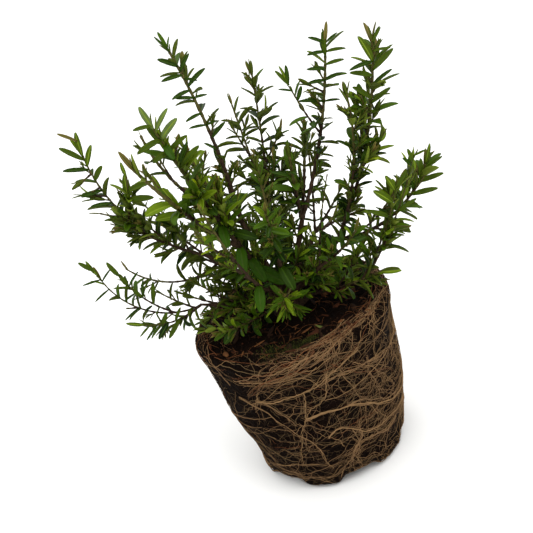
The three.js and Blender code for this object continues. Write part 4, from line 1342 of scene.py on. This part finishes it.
def leadPaths(rings=60):
    # Each leading root runs evenly through its points, softened by a running mean and a slow waver.
    turn, run, radii = [], [], []
    for number, (radius, stops) in enumerate(leadRoots.values()):
        stops = np.array(stops, float)
        reach = np.append(0, np.cumsum(np.hypot(np.diff(stops[:, 0]) * 1.25, np.diff(stops[:, 1]))))
        at = np.linspace(0, reach[-1], rings)
        for axis, place in ((0, turn), (1, run)):
            line = np.interp(at, reach, stops[:, axis])
            padded = np.pad(line, 4, mode="reflect", reflect_type="odd")
            line = np.convolve(padded, np.ones(9) / 9, mode="valid")
            line = line + 0.35 * np.sin(at / 3.1 + number + axis)
            place.append(line + 0.22 * np.sin(at * 1.1 + 2 * number + 3 * axis))
        thinning = 1 - 0.45 * at / reach[-1]
        radii.append(bundle["lead"] * radius * thinning * (1 + 0.14 * np.sin(at * 0.8 + number)))
    turn, run, radii = np.radians(np.array(turn)), np.array(run), np.array(radii)
    return turn, run, 0.3 + 0.2 * np.sin(run / 7), radii


def companions(lead):
    # Thinner roots that run beside each leading root, weaving across it.
    turn, run, lift, radii = (np.repeat(part, bundle["beside"], 0) for part in lead)
    count, rings = turn.shape
    t = np.linspace(0, 1, rings)[None]
    weaves = [bundle["weave"] * np.sin(t * drawn(count, 8, 22) + drawn(count, 0, 6)) for axis in range(2)]
    apart = rng.choice([-1, 1], (count, 1)) * drawn(count, 0.4, 1) * bundle["apart"]
    turn = turn + (0.5 * apart + weaves[0]) / 72
    return turn, run + apart + weaves[1], lift - 0.15, radii * bundle["thinner"] * drawn(count, 0.7, 1.1)


def sweepPaths(plan):
    # Each strand runs along its own stretch of the sweep, off to one side by its own share, slowly weaving.
    count, stops = plan["strands"], np.array(plan["stops"], float)
    start = drawn(count, 0, 0.75)
    end = np.minimum(start + drawn(count, 0.25, 0.7), 1)
    at = blendTo(start, end, np.linspace(0, 1, plan["rings"])[None])
    turn = np.interp(at * (len(stops) - 1), np.arange(len(stops)), stops[:, 0])
    run = np.interp(at * (len(stops) - 1), np.arange(len(stops)), stops[:, 1])
    apart = blendTo(*plan["apart"], at) * rng.normal(0, 0.6, (count, 1))
    weave = np.sin(at * drawn(count, 14, 34) + drawn(count, 0, 6))
    radii = drawn(count, *plan["radius"]) * blendTo(1, 0.6, np.linspace(0, 1, plan["rings"])[None])
    return np.radians(turn), run + apart + plan["weave"] * weave, 0.35 + 0.3 * weave, radii


def dealt(plan, turn):
    # Colours by their shares, with painted light (paler roots) on the right-hand side and painted shade
    # (darker roots) on the left of the near side.
    # right weights the draw towards paler roots as painted light, left towards darker ones as painted shade.
    right, left = smooth(np.cos(turn + 0.35), 0.2, 1), smooth(np.cos(turn - np.radians(-130)), 0.5, 1)
    luck = rng.uniform(0, 1, len(turn)) * (1 - 0.5 * right) + 0.2 * left
    return np.searchsorted(plan["shades"], luck).clip(0, 5)


def growRoots(heap, kind, *starts):
    # Roots of one kind wander off from all their starts and are laid on the skin.
    plan = rootKinds[kind]
    paths = wander(plan, *(np.concatenate(group) for group in zip(*starts)))
    layRoots(heap, paths, plan["sides"], dealt(plan, paths[0][:, 0]))
    return paths


lead = leadPaths()
heap = Heap()
layRoots(heap, lead, 7, rng.choice([0, 0, 1], len(lead[0])))
beside = companions(lead)
layRoots(heap, beside, 5, rng.choice([0, 1, 1, 2], len(beside[0])))
mains = growRoots(heap, "main", freeStarts("main", around=(-10, 225)))
sweep = sweepPaths(rimSweep)
luck = rng.uniform(0, 1, rimSweep["strands"])
layRoots(heap, sweep, rimSweep["sides"], np.searchsorted(rimSweep["shades"], luck))
heap.put("mainRoots", rootFinishes, "root_ball", "root_ball")

onLead, onMain, onBranch = 200, 220, 1200  # how many of the next roots start on these
heap = Heap()
borne = (branchStarts(lead, onLead), branchStarts(mains, onMain))
branches = growRoots(heap, "branch", *borne, freeStarts("branch", onLead + onMain))
growRoots(heap, "rim", freeStarts("rim"))
heap.put("branchRoots", rootFinishes, "root_ball", "root_ball")
heap = Heap()
growRoots(heap, "fine", branchStarts(branches, onBranch), freeStarts("fine", onBranch))
heap.put("fineRoots", rootFinishes, "root_ball", "root_ball")
heap = Heap()
growRoots(heap, "hair", freeStarts("hair"))
heap.put("hairRoots", rootFinishes, "root_ball", "root_ball")
print("roots made")

# ---- litter on the soil ----

litterPlan = {
    "crumbs": {"count": 1100, "size": (0.7, 2.2)},
    "chips": {"count": 150, "length": (3.5, 10), "width": (1.2, 2.6), "flat": 0.35},
    "bark": {"count": 34, "length": (7, 14), "width": (3, 5.5), "flat": 0.26},
    "fibres": {"count": 220, "length": (5, 18), "radius": (0.12, 0.22)},
    "fallen": {"length": 10, "halfWidth": 1.7, "places": (
        (-82, 41, 20, 3), (-71, 49, 130, 6), (-150, 55, 60, 1), (60, 50, 10, 3), (170, 62, 95, 2))},
    "moss": {"count": 1600, "length": (1.0, 2.4), "clumps": (
        (-112, 62, 11), (-98, 60, 9), (-85, 56, 7), (40, 60, 12), (150, 55, 10))},
}
litterTints = {
    "litterBlack": (10, 6, 4), "litterBrown": (38, 24, 15), "litterRed": (58, 32, 19),
    "litterOrange": (96, 62, 36), "mossDark": (30, 34, 12), "mossLight": (66, 68, 28),
    "litterGreen": (84, 92, 44),
}
litterLook = {"drift": (400, 3), "fleck": (1500, 2), "dark": 0.45, "light": 1.5, "relief": (0.0004, 0.6),
              "gloss": 0.06, "rough": 0.75}
litterFinishes = [flakyFinish(name, colour, litterLook) for name, colour in litterTints.items()]


def onSoil(turn, radius, lift):
    # A place on top of the ball by its turn and its distance from the middle.
    point = ballSurface(turn, ballRun[-1] - radius)
    point[..., 2] += lift
    return point


def scattered(count, low=15, high=75):
    # Even over the soil: the square of the radius is spread evenly.
    return rng.uniform(0, 2 * np.pi, count), np.sqrt(rng.uniform(low ** 2, high ** 2, count))


def stubs(centre, axis, length, radii):
    # Short straight bodies through the centre along the axis, one ring for each radius.
    at = np.linspace(-0.5, 0.5, radii.shape[1])
    return centre[:, None] + axis[:, None] * (at[None] * length[:, None])[..., None]


def leaning(spread, count):
    # Directions about upright, off to each side by a bell-shaped share.
    aside = [rng.normal(0, spread, count) for axis in range(2)]
    return unit(np.stack([*aside, np.ones(count)], -1))


def litterMesh():
    # Crumbs and bark chips are stubby closed tubes, fibres thin arcs, moss short tapering blades in clumps.
    heap = Heap()
    plan = litterPlan["crumbs"]
    turn, radius = scattered(plan["count"], 16, 78)
    size = blendTo(*plan["size"], rng.uniform(0, 1, plan["count"]) ** 2)
    radii = size[:, None] * np.array([0.36, 0.5, 0.34]) * rng.uniform(0.8, 1.2, (plan["count"], 3))
    axis = unit(rng.normal(0, 1, (plan["count"], 3)))
    paths = stubs(onSoil(turn, radius, 0.15 * size - 0.3), axis, size * 0.7, radii)
    heap.addTubes(paths, radii, unit(rng.normal(0, 1, paths.shape)) * 0 + [0.31, 0.2, 0.93], 6,
                  rng.choice([0, 0, 0, 1, 1, 2], plan["count"]))
    for plan in (litterPlan["chips"], litterPlan["bark"]):
        turn, radius = scattered(plan["count"], 18, 72)
        length = rng.uniform(*plan["length"], plan["count"])
        radii = rng.uniform(*plan["width"], plan["count"])[:, None] * np.array([0.45, 0.95, 1.0, 0.5]) * 0.5
        radii = radii * rng.uniform(0.8, 1.2, (plan["count"], 4))
        way = rng.uniform(0, 2 * np.pi, plan["count"])
        axis = unit(np.stack([np.cos(way), np.sin(way), rng.normal(0, 0.18, plan["count"])], -1))
        paths = stubs(onSoil(turn, radius, 0.5), axis, length, radii)
        normals = np.repeat(leaning(0.25, plan["count"])[:, None], 4, 1)
        shade = rng.choice([0, 1, 1, 1, 2, 2, 3], plan["count"])
        heap.addTubes(paths, radii, normals, 6, shade, plan["flat"])
    plan = litterPlan["fibres"]
    turn, radius = scattered(plan["count"], 16, 74)
    length = rng.uniform(*plan["length"], plan["count"])[:, None]
    t = np.linspace(-0.5, 0.5, 9)[None]
    way = rng.uniform(0, 2 * np.pi, (plan["count"], 1)) + rng.uniform(-1.6, 1.6, (plan["count"], 1)) * t
    x = (radius * np.cos(turn))[:, None] + np.cumsum(np.cos(way), 1) * length / 8
    y = (radius * np.sin(turn))[:, None] + np.cumsum(np.sin(way), 1) * length / 8
    away = np.minimum(np.hypot(x, y), 76)
    paths = onSoil(np.arctan2(y, x), away, 0.5 + rng.uniform(0, 1.4, (plan["count"], 1)) * (1 - 4 * t * t))
    radii = rng.uniform(*plan["radius"], plan["count"])[:, None] * (1 - 0.8 * t * t)
    shade = rng.choice([1, 2, 3, 3], plan["count"])
    heap.addTubes(paths, radii, np.zeros_like(paths) + [0, 0, 1.0], 3, shade)
    plan = litterPlan["fallen"]
    turn, radius, way, shade = np.array(plan["places"], float).T
    axis = unit(np.stack([np.cos(np.radians(way)), np.sin(np.radians(way)), 0.12 + 0 * way], -1))
    radii = np.tile(plan["halfWidth"] * np.array([0.25, 0.8, 1.0, 0.9, 0.6, 0.15]), (len(way), 1))
    paths = stubs(onSoil(np.radians(turn), radius, 1.2), axis, 0 * way + plan["length"], radii)
    heap.addTubes(paths, radii, np.zeros_like(paths) + [0.1, 0.2, 1.0], 8, shade, 0.14)
    plan = litterPlan["moss"]
    clumps = np.array(plan["clumps"], float)
    clump = clumps[rng.integers(0, len(clumps), plan["count"])]
    x = clump[:, 1] * np.cos(np.radians(clump[:, 0])) + rng.normal(0, 0.5, plan["count"]) * clump[:, 2]
    y = clump[:, 1] * np.sin(np.radians(clump[:, 0])) + rng.normal(0, 0.5, plan["count"]) * clump[:, 2]
    foot = onSoil(np.arctan2(y, x), np.minimum(np.hypot(x, y), 74), -0.2)
    axis = leaning(0.5, plan["count"])
    length = rng.uniform(*plan["length"], plan["count"])[:, None, None]
    paths = foot[:, None] + axis[:, None] * length * np.array([0, 0.5, 1.0])[None, :, None]
    radii = np.ones((plan["count"], 1)) * np.array([0.28, 0.24, 0.05])
    heap.addTubes(paths, radii, np.zeros_like(paths) + [0, 1.0, 0.1], 3, rng.choice([4, 4, 5], plan["count"]))
    heap.put("litter", litterFinishes, "root_ball", "root_ball")


litterMesh()
print("litter made")

# ---- floor ----

floorFinish = Finish("floor")
floorBase = floorFinish.mixed(floorFinish.grain(2), (0.86, 0.86, 0.85, 1), (0.88, 0.88, 0.87, 1))
floorFinish.set(Base_Color=floorBase, Roughness=0.9)
floorSize = 12000
floorPoints = np.array([[-1, -1, 0], [1, -1, 0], [1, 1, 0], [-1, 1, 0]]) * floorSize - np.array([0, 0, 0.05])
floor = putMesh("floor", floorPoints, [[0, 1, 2, 3]], finishes=(floorFinish,))
